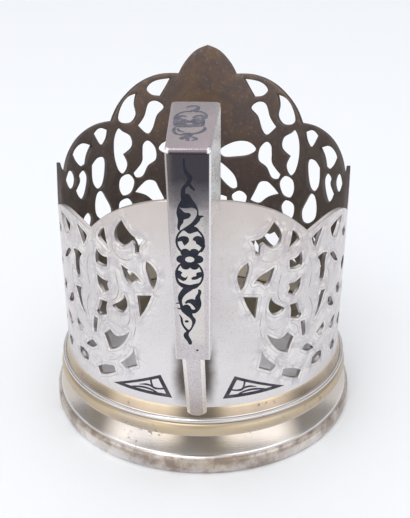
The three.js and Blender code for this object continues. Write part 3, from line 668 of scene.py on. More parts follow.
engravedVeins = [
    [(15.2, 39.6), (15.6, 35.8), (17.5, 34), (20.5, 34.6)],
    [(18.6, 47), (18, 43.6), (18.6, 41.2), (20.6, 39.8)],
    [(14.2, 51.2), (16.4, 50.8), (18.4, 51.8), (19.4, 53.8)],
    [(19.8, 57), (19.2, 55.4), (19, 53.2)],
    [(14.2, 38.6), (13.9, 35.4), (14.6, 32.4)],
    [(22.2, 34.4), (23.8, 33.2), (24.4, 31)],
    [(18.2, 26.8), (19.4, 25.2), (22, 24)],
    [(26.8, 48.8), (27.6, 45.8), (27, 41.8)],
    [(27.4, 39.2), (28.6, 36), (28, 33)],
    [(34.6, 43.4), (35, 40.6), (34.2, 38)],
    [(48, 50.4), (50.4, 53.6), (52.2, 57.6)],
    [(50.2, 47.4), (54, 50), (57.4, 50.6), (61.4, 49.2)],
    [(58.4, 46.8), (61.6, 46.6), (64.2, 45)],
    [(80, 50.6), (79.8, 53.8), (80, 57)],
    [(89.6, 56.6), (89.2, 54.2), (88.4, 52.2)],
    [(98.6, 68.6), (100.4, 70.6), (101.6, 73.2)],
    [(97, 62.6), (99.6, 64.6), (101.8, 64.4)],
    [(97.6, 50.8), (99.4, 48.8), (99.6, 46.2)],
]


def wallSpot(s, h, radius):
    angle = s * math.pi / wallSize['halfRound']
    return Vector((radius * math.sin(angle), -radius * math.cos(angle), h - seat)) * mm


def acrossTheSide(points):  # the low holes near the handle come again near the medallion
    return [(wallSize['halfRound'] - point[0], *point[1:]) for point in points]


def rimLine(step):
    line = []
    for arch in rimArches:
        line += splineRun([Vector(point) for point in arch], step)[:-1]
    return line + [Vector(rimArches[-1][-1])]


def offsetSpots(outline):  # (point, direction into the metal) round a hole, with a fan at each sharp corner
    side = 1 if signedArea(outline) > 0 else -1
    spots = []
    for before, here, after in zip(outline[-1:] + outline[:-1], outline, outline[1:] + outline[:1]):
        first, second = (here - before).normalized(), (after - here).normalized()
        normals = [Vector((edge.y, -edge.x)) * side for edge in (first, second)]
        turn = (first.x * second.y - first.y * second.x) * side
        fan = math.ceil(first.angle(second, 0.0) / 0.5)  # a ray each half radian
        if turn > 0.1 and fan > 1:
            spots += [(here, normals[0].lerp(normals[1], k / fan).normalized()) for k in range(fan + 1)]
        else:
            spots.append((here, (normals[0] + normals[1]).normalized()))
    return spots


class Drawing:  # points, edges and faces of the unrolled wall, for one triangulation
    def __init__(self):
        self.points = []
        self.edges = []
        self.faces = []

    def addLine(self, line):
        first = len(self.points)
        self.points += [Vector(point) for point in line]
        self.edges += [(i, i + 1) for i in range(first, len(self.points) - 1)]

    def addFace(self, outline):
        first = len(self.points)
        self.points += [Vector(point) for point in outline]
        face = list(range(first, len(self.points)))
        self.faces.append(face if signedArea(outline) > 0 else face[::-1])

    def triangles(self, keep):
        spots, _, faces, _, _, ids = delaunay_2d_cdt(self.points, self.edges, self.faces, 0, 1e-4, True)
        return spots, [face for face, inside in zip(faces, ids) if keep(inside)]


def drawOffsets(drawing, outline, level, nearest, inside, slack=0.04):  # a line that far from the opening
    run = []
    for point, normal in offsetSpots(outline) + [(None, None)]:
        spot = point + normal * level if point else None
        if spot and distanceTo(nearest, spot) > level - slack and inside(spot):
            run.append(spot)
        else:
            if len(run) > 1:
                drawing.addLine(run)
            run = []


def drawWall(size):
    half, step, bottom = size['halfRound'], size['step'], size['bottom']
    rim = rimLine(step)
    holes = [smoothOutline(points, step) for points in
             panelHoles + panelLowHoles + sideHoles + sideLowHoles + middleHoles + tallHoles
             + [acrossTheSide(points) for points in panelLowHoles + sideLowHoles]]
    veins = [splineRun([Vector(point) for point in vein], step) for vein in engravedVeins]
    nearHole = denseTree([(hole, True) for hole in holes], size['nearness'])
    nearRim = denseTree([(rim, False)], size['nearness'])
    nearVein = denseTree([(vein, False) for vein in veins], size['nearness'])
    rimHeights = sorted((point.x, point.y) for point in rim)

    def rimHeight(s):
        for (s0, h0), (s1, h1) in zip(rimHeights, rimHeights[1:]):
            if s <= s1:
                return h0 + (h1 - h0) * (s - s0) / max(s1 - s0, 1e-6)
        return rimHeights[-1][1]

    def inside(spot):
        margin = size['margin']
        return (margin < spot.x < half - margin
                and bottom + margin < spot.y < rimHeight(spot.x) - size['rimMargin'])

    drawing = Drawing()
    columns = size['columns']
    bottomLine = [Vector((half * i / columns, bottom)) for i in range(columns + 1)]
    front, back = [[Vector((s, h)) for h in range(18, top, 2)] for s, top in size['seams']]
    drawing.addFace(bottomLine + back + rim[::-1] + front[::-1])
    shifts = (-size['grooveWidth'], 0.0, size['grooveWidth'])
    for hole in holes:
        drawing.addFace(hole)
        for level in [size['edgeWidth']] + [size['grooveAt'] + shift for shift in shifts]:
            drawOffsets(drawing, hole, level, nearHole, inside)
    for vein in veins:
        for shift in shifts:
            ends = zip(vein, vein[1:] + vein[-1:], vein[:1] + vein[:-1])
            line = [here + Vector((-(after - before).y, (after - before).x)).normalized() * shift
                    for here, after, before in ends]
            drawing.addLine([spot for spot in line if inside(spot)])
    below = [point - Vector((0.0, size['edgeWidth'])) for point in rim]
    drawing.addLine([point for point in below if size['margin'] < point.x < half - size['margin']])
    for i in range(1, columns):
        for j in range(size['rows']):
            spot = Vector((half * i / columns, bottom + 1.0 + size['rowStep'] * j + i % 2))
            if inside(spot) and distanceTo(nearHole, spot) > size['groundGap']:
                drawing.points.append(spot)
    spots, faces = drawing.triangles(lambda ids: 0 in ids and len(ids) == 1)
    return spots, faces, nearHole, nearRim, nearVein


def wallMesh(name, size):
    spots, faces, nearHole, nearRim, nearVein = drawWall(size)
    outer, inner, groove, carved = [], [], [], []
    for spot in spots:
        hole = distanceTo(nearHole, spot)
        drop = size['edgeDrop'] * max(0.0, 1 - min(hole, distanceTo(nearRim, spot)) / size['edgeWidth'])
        carving = (size['carvedEnd'] - hole) / (size['carvedEnd'] - size['grooveAt'])
        outline = size['outlineShare'] * (1 - abs(hole - size['grooveAt']) / size['grooveWidth'])
        vein = 1 - distanceTo(nearVein, spot) / size['grooveWidth']
        depth = max(0.0, outline, vein) if spot.y > size['bottom'] + size['plainFoot'] else 0.0
        carved.append(min(1.0, max(0.0, carving)))
        groove.append(depth)
        outer.append(wallSpot(spot.x, spot.y, size['radius'] - drop - depth * size['grooveDepth']))
        inner.append(wallSpot(spot.x, spot.y, size['radius'] - size['sheet'] + drop * size['innerDrop']))
    used = {(a, b) for face in faces for a, b in zip(face, face[1:] + face[:1])}
    border = [(a, b) for face in faces for a, b in zip(face, face[1:] + face[:1]) if (b, a) not in used]
    cut = [(a, b) for a, b in border if max(spots[a].x, spots[b].x) > 1e-3
           and min(spots[a].x, spots[b].x) < size['halfRound'] - 1e-3]  # the seams stay open for the mirror
    count = len(spots)
    polygons = [tuple(face) for face in faces]
    polygons += [tuple(count + i for i in reversed(face)) for face in faces]
    polygons += [(b, a, count + a, count + b) for a, b in cut]
    piece = meshPiece(name, outer + inner, polygons)
    slots = [0] * len(faces) + [1] * len(faces)  # silver outside, oxidised inside
    slots += [2 if spots[a].x > size['farSide'] else 0 for a, b in cut]
    piece.data.polygons.foreach_set('material_index', slots)
    for kind, values in (('groove', groove), ('carved', carved)):
        attribute = piece.data.attributes.new(kind, 'FLOAT', 'POINT')
        attribute.data.foreach_set('value', values + [0.0] * count)
    return piece


def makeWall():
    piece = wallMesh('piercedWall', wallSize)
    applyModifier(piece, 'MIRROR', use_axis=(True, False, False), merge_threshold=1e-5)
    editAll(piece)
    bpy.ops.mesh.delete_loose()
    leaveEdit()
    smoothEdges(piece, 30)
    return finished(piece, ['wall_shell'], 'silver_wall',
                    silverMaterial('wallSilver', wallLook, (1, 1, 3), engraved=True, tint=wallTint),
                    oxidisedMaterial('oxidisedInside', oxidisedLook),
                    oxidisedMaterial('darkCuts', cutLook))


wall = makeWall()
print("wall made:", len(wall.data.polygons), "faces")


# The foot

footSize = {
    'wall': 35.0,
    'top': 16.2,
    'ledge': (33.3, 31.5, 15.0),  # under the floor plate: outer and inner radius, height
    'filletFoot': (36.02, 13.86),
    'filletSag': 0.02,
    'bead': (36.12, 13.3),
    'beadRadius': 0.64,
    'beadOverlap': 0.02,
    'middleInside': (34.6, 33.9, 36.3, 37.1),  # radii behind the middle ring, from its top down
    'ovoloCentre': (36.1, 10.2),
    'ovoloRound': (1.05, 2.4),
    'ovoloFoot': (0.35, 0.45),  # step under the rounded moulding: in from it and down
    'hollowTop': (35.0, 9.6),
    'hollowFoot': (37.85, 4.62),
    'hollowBase': 4.5,
    'hollowSag': 0.1,
    'rimTop': 4.88,
    'rimRound': (1.5, 1.8),
    'rimInside': 35.4,
    'rimChamfer': 0.3,
    'restEdge': 37.3,
    'footRound': 1.1,
    'reach': 38.59,
    'roundSteps': 180,
}


def saggingLine(top, foot, sag, steps=14):  # shallow hollow curve, from its top down
    top, foot = Vector(top), Vector(foot)
    dip = Vector((foot.y - top.y, top.x - foot.x)).normalized() * sag
    shares = [k / steps for k in range(steps + 1)]
    return [tuple(top.lerp(foot, t) + dip * 4 * t * (1 - t)) for t in shares]


def makeFoot(size):
    (beadAt, beadHeight), bead = size['bead'], size['beadRadius']
    beadFoot = beadHeight - bead + size['beadOverlap']
    ledgeOut, ledgeIn, ledgeTop = size['ledge']
    upper = [(ledgeOut, size['top']), (ledgeOut, ledgeTop), (ledgeIn, ledgeTop), (ledgeIn, beadFoot),
             (beadAt, beadFoot)]
    upper += arcPoints(size['bead'], (bead, bead), -80, 75, 12)
    upper += saggingLine((size['wall'], size['top']), size['filletFoot'], size['filletSag'])[::-1]

    (ovoloAt, ovoloHeight), ovolo = size['ovoloCentre'], size['ovoloRound']
    stepIn, stepDown = size['ovoloFoot']
    heights = (beadFoot, size['hollowTop'][1], size['rimTop'], size['rimTop'])
    middle = list(zip(size['middleInside'], heights)) + [(size['hollowFoot'][0], size['hollowBase'])]
    middle += saggingLine(size['hollowTop'], size['hollowFoot'], size['hollowSag'])[::-1]
    middle += [(ovoloAt, ovoloHeight - stepDown), (ovoloAt + ovolo[0] - stepIn, ovoloHeight - stepIn)]
    middle += arcPoints(size['ovoloCentre'], ovolo, -10, 88, 13)

    inside, chamfer, foot, rim = size['rimInside'], size['rimChamfer'], size['footRound'], size['rimRound']
    lower = [(inside, size['rimTop']), (inside, chamfer), (inside + chamfer, 0.0), (size['restEdge'], 0.0)]
    lower += arcPoints((size['reach'] - foot, foot), (foot, foot), -80, 0, 8)
    lower += arcPoints((size['reach'] - rim[0], size['rimTop'] - rim[1]), rim, 0, 88, 16)

    material = giltMaterial('giltSilver', giltLook)
    for name, node, slot, profile in (('footUpperRing', 'foot_upper_ring', 'gilt_silver', upper),
                                      ('footMiddleRing', 'foot_middle_ring', 'gilt_silver', middle),
                                      ('footRimRing', 'foot_rim_ring', 'silver', lower)):
        finished(turned(name, profile, size['roundSteps']), [node], slot, material)


makeFoot(footSize)
print("foot made")


floorSize = {
    'radius': 33.0,
    'sheet': 1.0,
    'edge': 0.2,
    'roundSteps': 128,
}
floorLook = {
    'light': (0.90, 0.89, 0.93),
    'tarnish': (0.74, 0.72, 0.72),
    # the plate's far part carries a painted reflection of the far wall: beige near its edge, a dark olive
    # oval inside
    'wearAndReflection': (0.46, 0.42, 0.37),
    'paintedShade': (0.23, 0.20, 0.145),
    'roughness': 0.4,
    'metallic': 0.95,
    'scratchDepth': 0.012 * mm,
    'turnedLines': 0.9,  # from one fine ring to the next, in mm
    'cloud': (12.0, 4.0, 0.6, 0.5),
    'cloudEdge': (0.4, 0.66),
    'fine': (0.7, 3.0, 0.6),
    'farRimReflectionRadius': (22.0, 30.0),
    'farRimReflectionDepth': (-6.0, 12.0),
    'paintedShadeMiddle': 11.0,  # an oval of painted shade towards the medallion: the dark far wall's reflection painted on the plate
    'paintedShadeReach': (29.0, 11.5),
    'paintedShadeEdge': (0.7, 1.15),
}


def floorMaterial(name, look):
    material, wire = startMaterial(name)
    spot = places(wire)
    x, y, _ = axes(spot)
    radius = (x * x + y * y).of('SQRT')
    rings = (radius * (2 * math.pi / look['turnedLines'])).of('SINE')
    cloud = noise(spot, *look['cloud'])
    fine = noise(spot, *look['fine'])
    color = cloud.between(*look['cloudEdge']).blendColor(look['light'], look['tarnish'])
    # painted reflection: beige near the far edge, then a dark oval of painted shade
    wearAndReflection = ragged(radius, cloud, 8.0).between(*look['farRimReflectionRadius']) * y.between(*look['farRimReflectionDepth'])
    color = wearAndReflection.blendColor(color, look['wearAndReflection'])
    across, along = x / look['paintedShadeReach'][0], (y - look['paintedShadeMiddle']) / look['paintedShadeReach'][1]
    away = (across * across + along * along).of('SQRT')
    paintedShade = (away + (cloud - 0.5) * 1.2).below(*look['paintedShadeEdge'])
    color = paintedShade.blendColor(color, look['paintedShade'])
    finishMaterial(wire, color, look['roughness'] + fine * 0.15, look['metallic'], rings * 0.5 + fine,
                   look['scratchDepth'])
    return material


def makeFloor(size):
    bpy.ops.mesh.primitive_cylinder_add(vertices=size['roundSteps'], radius=size['radius'] * mm,
                                        depth=size['sheet'] * mm, location=(0, 0, -size['sheet'] / 2 * mm))
    piece = bpy.context.active_object
    piece.name = 'floorPlate'
    bpy.ops.object.transform_apply(location=True, rotation=True, scale=True)
    bevelled(piece, size['edge'])
    smoothEdges(piece)
    return finished(piece, ['floor_plate'], 'silver', floorMaterial('floorSilver', floorLook))


makeFloor(floorSize)
print("floor plate made")


# The handle
# Side view in [distance from the cup's axis, height above the table], in mm

handleSize = {
    'top': 85.5,
    'rear': 35.3,
    'front': 64.3,
    'lean': math.radians(14),
    'sheet': 0.9,
    'barLength': 46.9,
    'barDepth': 3.2,
    'rearWidth': 9.2,
    'frontWidth': 7.3,
    'barFootWidth': 6.6,
    'blockDepth': 21.8,
    'undersideSlope': 0.28,
    'undersideRound': 2.4,
    'flare': 0.001,
    'thumbBevel': 0.24,
    'frontBevel': 0.16,
    'backBevel': 0.1,
    'hiddenBevel': 0.08,
    'cheekBevel': 0.05,
    'wallSide': 34.6,  # the box reaches this far into the round wall, so no gap shows
    'wallMiddle': 34.46,  # the thumb plate's rear edge on its middle line
    'rearCurve': [(0.0, 0.9), (0.25, 0.35), (0.8, -0.03)],  # its corner: in from its side, out from the wall
    'plateMargin': 0.02,  # the thumb plate is this much narrower on each side
    'plateCorner': 0.7,
    'rearStep': 0.4,  # the rear plate's lower edge rises outwards
}


def onBar(u, v, size=handleSize):  # u below the front edge along the bar, v in from its face
    lean = size['lean']
    return (size['front'] - u * math.sin(lean) - v * math.cos(lean),
            size['top'] - u * math.cos(lean) + v * math.sin(lean))


def halfWidth(distance, height, size=handleSize):
    drop = size['top'] - height
    share = drop / (size['barLength'] * math.cos(size['lean']))
    front = (size['frontWidth'] + (size['barFootWidth'] - size['frontWidth']) * share) / 2
    behind = size['front'] - drop * math.tan(size['lean']) - distance
    taper = (size['rearWidth'] - size['frontWidth']) / 2 / (size['front'] - size['rear'])
    return front + behind * (taper + drop * size['flare'])


def undersidePath(size):
    start = Vector((size['rear'], size['top'] - size['blockDepth']))
    back = Vector(onBar(0, size['barDepth']))
    fall, slope = math.tan(size['lean']), size['undersideSlope']
    run = (back.x - start.x - (back.y - start.y) * fall) / (1 - slope * fall)
    corner = start + Vector((run, run * slope))
    first = corner - Vector((1, slope)).normalized() * size['undersideRound']
    last = corner - Vector((math.sin(size['lean']), math.cos(size['lean']))) * size['undersideRound']
    bend = [first.lerp(corner, t).lerp(corner.lerp(last, t), t) for t in (k / 10 for k in range(11))]
    return [start] + bend + [Vector(onBar(size['barLength'], size['barDepth']))]


def insidePath(path, sheet):
    moved = []
    for i, point in enumerate(path):
        before = (path[max(i, 1)] - path[max(i - 1, 0)]).normalized()
        after = (path[min(i + 1, len(path) - 1)] - path[min(i, len(path) - 2)]).normalized()
        middle = (before + after).normalized()
        moved.append(point + Vector((-middle.y, middle.x)) * sheet / middle.dot(before))
    moved[0] = path[0] + Vector((0, sheet / (path[1] - path[0]).normalized().x))
    return moved


def acrossHandle(distance, height, depth):  # depth 0 at the left flank, 1 at the right one
    return (2 * depth - 1) * halfWidth(distance, height), -distance, height - seat


def thumbPlan(size):
    rear, front = [size[end] / 2 - size['plateMargin'] for end in ('rearWidth', 'frontWidth')]
    corner, straight = size['plateCorner'], size['front'] - size['plateCorner']
    curve = [(rear - inset, size['wallSide'] + out) for inset, out in size['rearCurve']]
    plan = [(-x, distance) for x, distance in curve] + [(0, size['wallMiddle'])] + curve[::-1]
    plan.append((front, straight))
    plan += arcPoints((front - corner, straight), (corner, corner), 15, 90, 5)
    plan += arcPoints((-front + corner, straight), (corner, corner), 90, 165, 5)
    return plan + [(-front, straight)]


def makeHandle(size):
    sheet, bar, lean, depth = size['sheet'], size['barLength'], size['lean'], size['barDepth']
    barMetal = silverMaterial('barSilver', plateLook, (3, 1, 1), tint=darkUpperBar)
    thumbMetal = silverMaterial('thumbSilver', thumbLook, (3, 1, 1), tint=darkFrontEdge)
    litCheekMetal = silverMaterial('litCheekSilver', litCheekLook, (1, 2, 1))
    wallSide, sheetTop = size['wallSide'], size['top'] - sheet
    thumb = slab('handleThumbPlate', thumbPlan(size), sheet,
                 lambda x, distance, up: (x, -distance, sheetTop + up - seat), size['thumbBevel'], 3)
    finished(thumb, ['handle_thumb_plate'], 'silver', thumbMetal)

    outerTop = sheet / math.cos(lean)
    innerTop = sheet * (1 + math.sin(lean)) / math.cos(lean)
    front = [onBar(outerTop, 0), onBar(bar, 0), onBar(bar, sheet), onBar(innerTop, sheet)]
    outside = undersidePath(size)
    inside = insidePath(outside, sheet)
    toWall = Vector((wallSide, outside[0].y - (outside[0].x - wallSide) * size['undersideSlope']))
    back = [toWall] + outside[1:] + inside[:0:-1] + [toWall + Vector((0, sheet))]
    rearFace, rearFoot = size['rear'] + sheet, toWall.y + sheet
    rear = [(wallSide, rearFoot), (rearFace, rearFoot + size['rearStep']), (rearFace, sheetTop),
            (wallSide, sheetTop)]
    end = [onBar(bar - sheet, sheet), onBar(bar, sheet), onBar(bar, depth - sheet),
           onBar(bar - sheet, depth - sheet)]
    for name, node, outline, bevel, segments, metal in (
            ('handleFrontPlate', 'handle_front_plate', front, size['frontBevel'], 3, barMetal),
            ('handleBackPlate', 'handle_back_plate', back, size['backBevel'], 2, litCheekMetal),
            ('handleRearPlate', 'handle_rear_plate', rear, size['hiddenBevel'], 2, litCheekMetal),
            ('handleEndPlate', 'handle_end_plate', end, size['hiddenBevel'], 2, litCheekMetal)):
        finished(slab(name, outline, 1, acrossHandle, bevel, segments), [node], 'silver', metal)

    cheek = [rear[1]] + inside[1:-1] + [end[3], end[0], front[3], (rearFace, sheetTop)]
    for name, node, side in (('handleCheekLeft', 'handle_cheek_left', -1),
                             ('handleCheekRight', 'handle_cheek_right', 1)):
        flank = slab(name, cheek, sheet, lambda distance, height, inward, side=side: (
            side * (halfWidth(distance, height) - inward), -distance, height - seat), size['cheekBevel'], 1)
        finished(flank, [node], 'silver', litCheekMetal)


plateLook = {
    'light': (0.69, 0.645, 0.65),
    'tarnish': (0.57, 0.52, 0.53),
    'pit': (0.24, 0.20, 0.20),
    'speckle': 0.4,
    'roughness': 0.27,
    'scratchDepth': 0.012 * mm,
}
thumbLook = dict(plateLook, light=(0.56, 0.475, 0.51), tarnish=(0.46, 0.385, 0.425))
# painted light: a brighter copy of the plate silver, on the cheeks and the back, rear and end plates
litCheekLook = dict(plateLook, light=(0.95, 0.92, 0.90), tarnish=(0.82, 0.78, 0.77), speckle=0.15)
frontEdgeLook = {  # the thumb plate's front edge: painted shade like the dark part of the bar below it, and painted glints at its two front corners
    'dark': (0.065, 0.057, 0.062),
    'darkDepth': (-64.05, -63.75),
    'darkHeight': (68.7, 69.5),
    'rubbedAndGlint': (0.95, 0.94, 0.95),
    'rubbedAndGlintSide': (2.9, 3.2),
    'glintDepth': (-63.9, -63.2),
}


def darkFrontEdge(spot, color, look=frontEdgeLook):
    x, y, z = axes(spot)
    # painted shade on the front edge and the lower part of its bevel
    edge = y.below(*look['darkDepth']) * z.below(*look['darkHeight'])
    color = edge.blendColor(color, look['dark'])
    # painted glints at the two front corners
    corner = x.of('ABSOLUTE').between(*look['rubbedAndGlintSide']) * y.below(*look['glintDepth'])
    return corner.blendColor(color, look['rubbedAndGlint'])


barFaceLook = {  # painted dark reflection below the thumb plate, and painted highlight lines along the face's edges
    'top': 69.5,
    'lean': 0.249,  # the bar goes in by this share of the way down, and narrows by the next one
    'taper': 0.0077,
    'faceDepth': (-64.0, -63.3),
    'edgeSide': (3.3, 3.5),
    'ground': (0.79, 0.76, 0.70),  # round the scroll
    'groundSide': (2.0, 2.6),
    'groundFoot': (27.0, 30.0),
    'groundHead': (56.0, 59.0),
    'cloud': (4.0, 3.0, 0.6),
    'darkFoot': 46.0,  # the shares of painted shade run from here up
    'darkReach': 20.0,
    'darkShares': [(0.1, 0.08), (0.4, 0.24), (0.5, 0.38), (0.6, 0.47), (0.64, 0.67), (0.69, 0.8),
                   (0.79, 0.91), (0.9, 1.0)],
    'dark': (0.055, 0.050, 0.060),
    'darkLeft': (0.17, 0.148, 0.125),
    'leftSide': (-3.2, -0.9),
    'leftEdgeHighlight': (0.72, 0.70, 0.71),
    'leftEdgeHighlightTop': (0.32, 0.30, 0.31),
    'edgeHighlightHeight': (44.0, 52.0),
    'rightEdgeHighlight': (0.85, 0.83, 0.84),
}


def darkUpperBar(spot, color, look=barFaceLook):
    x, y, z = axes(spot)
    cloud = noise(spot, *look['cloud'])
    face = (y + (z - look['top']) * look['lean']).below(*look['faceDepth'])
    wide = x.of('ABSOLUTE')
    edge = (wide + (look['top'] - z) * look['taper']).between(*look['edgeSide'])
    ground = wide.below(*look['groundSide']) * z.between(*look['groundFoot']) * z.below(*look['groundHead'])
    color = (ground * face * 0.6).blendColor(color, look['ground'])
    # painted dark reflection, darkest under the thumb plate and fading downwards, lighter brown on the left,
    # kept off the edges
    dark = ((ragged(z, cloud, 3.0) - look['darkFoot']) / look['darkReach']).ramp(look['darkShares'])
    left = (x + cloud * 2.0).below(*look['leftSide'])
    shade = left.blendColor(look['dark'], look['darkLeft'])
    color = (dark * face * (1.0 - edge)).blendColor(color, shade)
    # painted highlight lines along both edges of the face, the left one dimmer near the top
    leftEdgeHighlight = z.between(*look['edgeHighlightHeight']).blendColor(look['leftEdgeHighlight'], look['leftEdgeHighlightTop'])
    line = x.between(-1.0, 1.0).blendColor(leftEdgeHighlight, look['rightEdgeHighlight'])
    return (edge * face * 0.7).blendColor(color, line)


makeHandle(handleSize)
print("handle made")


strutSize = {
    'width': 4.3,
    'thickness': 1.5,
    'inset': 0.5,
    'foot': (36.9, 15.0),
    'profile': [(0.0, 0.0), (0.0, 1.1), (0.093, 1.16), (0.62, 1.48), (0.744, 1.5)],  # (in, out) at its edge
    'tipSteps': 24,
}
# painted highlight: a brighter copy of the plate silver on the strut's rounded sides, a bright outline round
# its face
strutEdgeHighlightLook = dict(plateLook, light=(0.93, 0.91, 0.91), tarnish=(0.86, 0.83, 0.83), speckle=0.1)
strutFaceLook = dict(plateLook, light=(0.70, 0.665, 0.685))


def makeStrut(size):
    head, foot = Vector(onBar(handleSize['barLength'], size['inset'])), Vector(size['foot'])
    along, length = (foot - head).normalized(), (foot - head).length
    inward = Vector((along.y, -along.x))
    half = size['width'] / 2

    def ringAt(inset, up):  # the front view's outline, drawn in by inset, at one depth
        tip = arcPoints((0, length - half), (half - inset, half - inset), 0, 180, size['tipSteps'])
        corners = [(-half + inset, 0.0), (half - inset, 0.0)] + tip
        spots = [head + along * run + inward * (size['thickness'] - up) for _, run in corners]
        return [Vector((x, -spot.x, spot.y - seat)) * mm for (x, _), spot in zip(corners, spots)]

    rings = [ringAt(inset, up) for inset, up in size['profile']]
    count, last = len(rings[0]), len(rings) - 1
    polygons = [tuple(reversed(range(count))), tuple(range(last * count, (last + 1) * count))]
    for level in range(last):
        for i in range(count):
            here, there = level * count + i, level * count + (i + 1) % count
            polygons.append((here, there, there + count, here + count))
    piece = meshPiece('handleStrut', [spot for ring in rings for spot in ring], polygons)
    # the two flat faces take strutFace, the rounded sides the painted-highlight silver
    piece.data.polygons.foreach_set('material_index', [1, 1] + [0] * (len(polygons) - 2))
    repaired(piece)
    smoothEdges(piece, 30)
    return finished(piece, ['handle_strut'], 'silver',
                    silverMaterial('strutEdgeHighlight', strutEdgeHighlightLook, (1, 1, 3)),
                    silverMaterial('strutFace', strutFaceLook, (1, 1, 3)))


makeStrut(strutSize)
print("strut made")


# Niello
# A stroke is a line with a width at each of its points; light strokes are cut out of dark ones.

nielloSize = {
    'proud': 0.02,
    'sunk': 0.1,
    'step': 0.35,
}


def stroke(line, widths, step=nielloSize['step']):
    run = splineRun([Vector(point) for point in line], step)
    left, right = [], []
    for i, point in enumerate(run):
        direction = (run[min(i + 1, len(run) - 1)] - run[max(i - 1, 0)]).normalized()
        at = i / (len(run) - 1) * (len(widths) - 1)
        low = min(int(at), len(widths) - 2)
        half = (widths[low] + (widths[low + 1] - widths[low]) * (at - low)) / 2
        across = Vector((-direction.y, direction.x)) * half
        left.append(point + across)
        right.append(point - across)
    return right + left[::-1]


def ellipse(centre, radii, steps=36):
    return [Vector(point) for point in arcPoints(centre, radii, 0, 360, steps)[:-1]]


def leaf(*points):
    return smoothOutline(points, nielloSize['step'])


def dark(*outlines):
    return [(True, outline) for outline in outlines]


def light(*outlines):
    return [(False, outline) for outline in outlines]


def upperLeaf():
    return dark(
        stroke([(-0.62, 1.8), (-0.6, 3.2), (-0.28, 4.4), (0.28, 5.3), (0, 6.3), (-0.78, 7.4),
                (-0.9, 8.5), (-0.6, 9.6)], [0.25, 0.45, 0.5, 0.85, 0.7, 0.6, 0.75, 1.3]),
        stroke([(0, 6.5), (0.3, 6.9), (0.95, 7.75)], [0.6, 0.5, 0.3]),
        leaf((-1.15, 8.6), (-1.2, 9.5), (-1.8, 10.8), (-2.1, 12.2), (-1.9, 13.7), (-2.05, 15.2),
             (-1.75, 15.95, 1), (-1.1, 15.6), (-0.3, 15.2), (0.72, 14.95), (1.67, 13.9), (1.9, 13.25),
             (2.5, 12.92, 1), (2.15, 12.7), (1.6, 12.7), (1.54, 11.8), (1.2, 10.6), (0.55, 9.5),
             (0, 8.5)),
    ) + light(
        leaf((-1.62, 11.15, 1), (-0.55, 11.3), (0.55, 11.15), (1.2, 11.6), (1.27, 12.5), (0.85, 13.5),
             (0.2, 14.4), (-0.6, 15.1), (-1.65, 15.95, 1), (-1.5, 15), (-1, 14.2), (-0.9, 13.6),
             (-0.1, 13.3), (0.33, 12.6), (0, 12.2), (-0.7, 12.15)),
    )


def upperRing():
    return dark(ellipse((0.05, 18.2), (2.5, 3.1))) + light(ellipse((0.05, 18.2), (2.13, 2.72))) + dark(
        leaf((-1.7, 15.9), (-0.9, 15.85), (-0.35, 16.4), (0.17, 16.5), (0.7, 16.25), (1.6, 15.8),
             (0.9, 15), (-0.6, 14.95)),
        leaf((-2.3, 18.3), (-1.96, 17.45), (-1.31, 17.05), (-0.47, 17.15), (-0.11, 17.72), (-0.29, 18.4),
             (-0.92, 19.1, 1), (-1.2, 18.6), (-1.4, 18.1)),
        leaf((0.46, 17.9, 1), (0.68, 17.3), (1.32, 16.95), (1.95, 17.2), (2.4, 17.9), (2.4, 18.8),
             (1.9, 19.35), (1.45, 18.85), (1.1, 18.7), (0.95, 18.1)),
        leaf((1.6, 20.4), (2.3, 19.4), (2.35, 18.4), (2.6, 19.2), (2, 20.5)),
    )


def lowerRing():
    return dark(ellipse((-0.22, 25.6), (2.53, 3.3))) + light(ellipse((-0.22, 25.6), (2.15, 2.9))) + dark(
        leaf((-2.7, 26.4, 1), (-2.01, 27.2), (-1.25, 27.63), (-0.26, 27.9), (0.4, 27.74), (1.1, 27.5),
             (1.85, 27.3, 1), (1, 28.6), (-0.3, 28.9), (-1.6, 28.5), (-2.4, 27.5)),
        leaf((-2.7, 24.8), (-2, 24.6), (-1.45, 25.1), (-1.75, 25.6), (-1.35, 26.1), (-1, 26.25),
             (-0.55, 25.85, 1), (-0.75, 26.6), (-1.3, 27), (-1.9, 26.65), (-2.5, 26)),
        leaf((0.05, 26.45), (0.43, 26), (1, 25.8), (0.95, 25.2), (1.5, 24.9), (2.2, 25), (2.2, 25.7),
             (1.45, 26.3), (0.95, 26.6), (0.3, 26.7)),
    )


def flower():
    centre = (-0.08, 22.05)
    petals = [ellipse(middle, (0.84, 0.86), 20) for middle in arcPoints(centre, (1.5, 1.68), 0, 300, 5)]
    return dark(ellipse(centre, (1.35, 1.4)), *petals) + light(ellipse((-0.1, 22.1), (0.8, 0.64), 24))


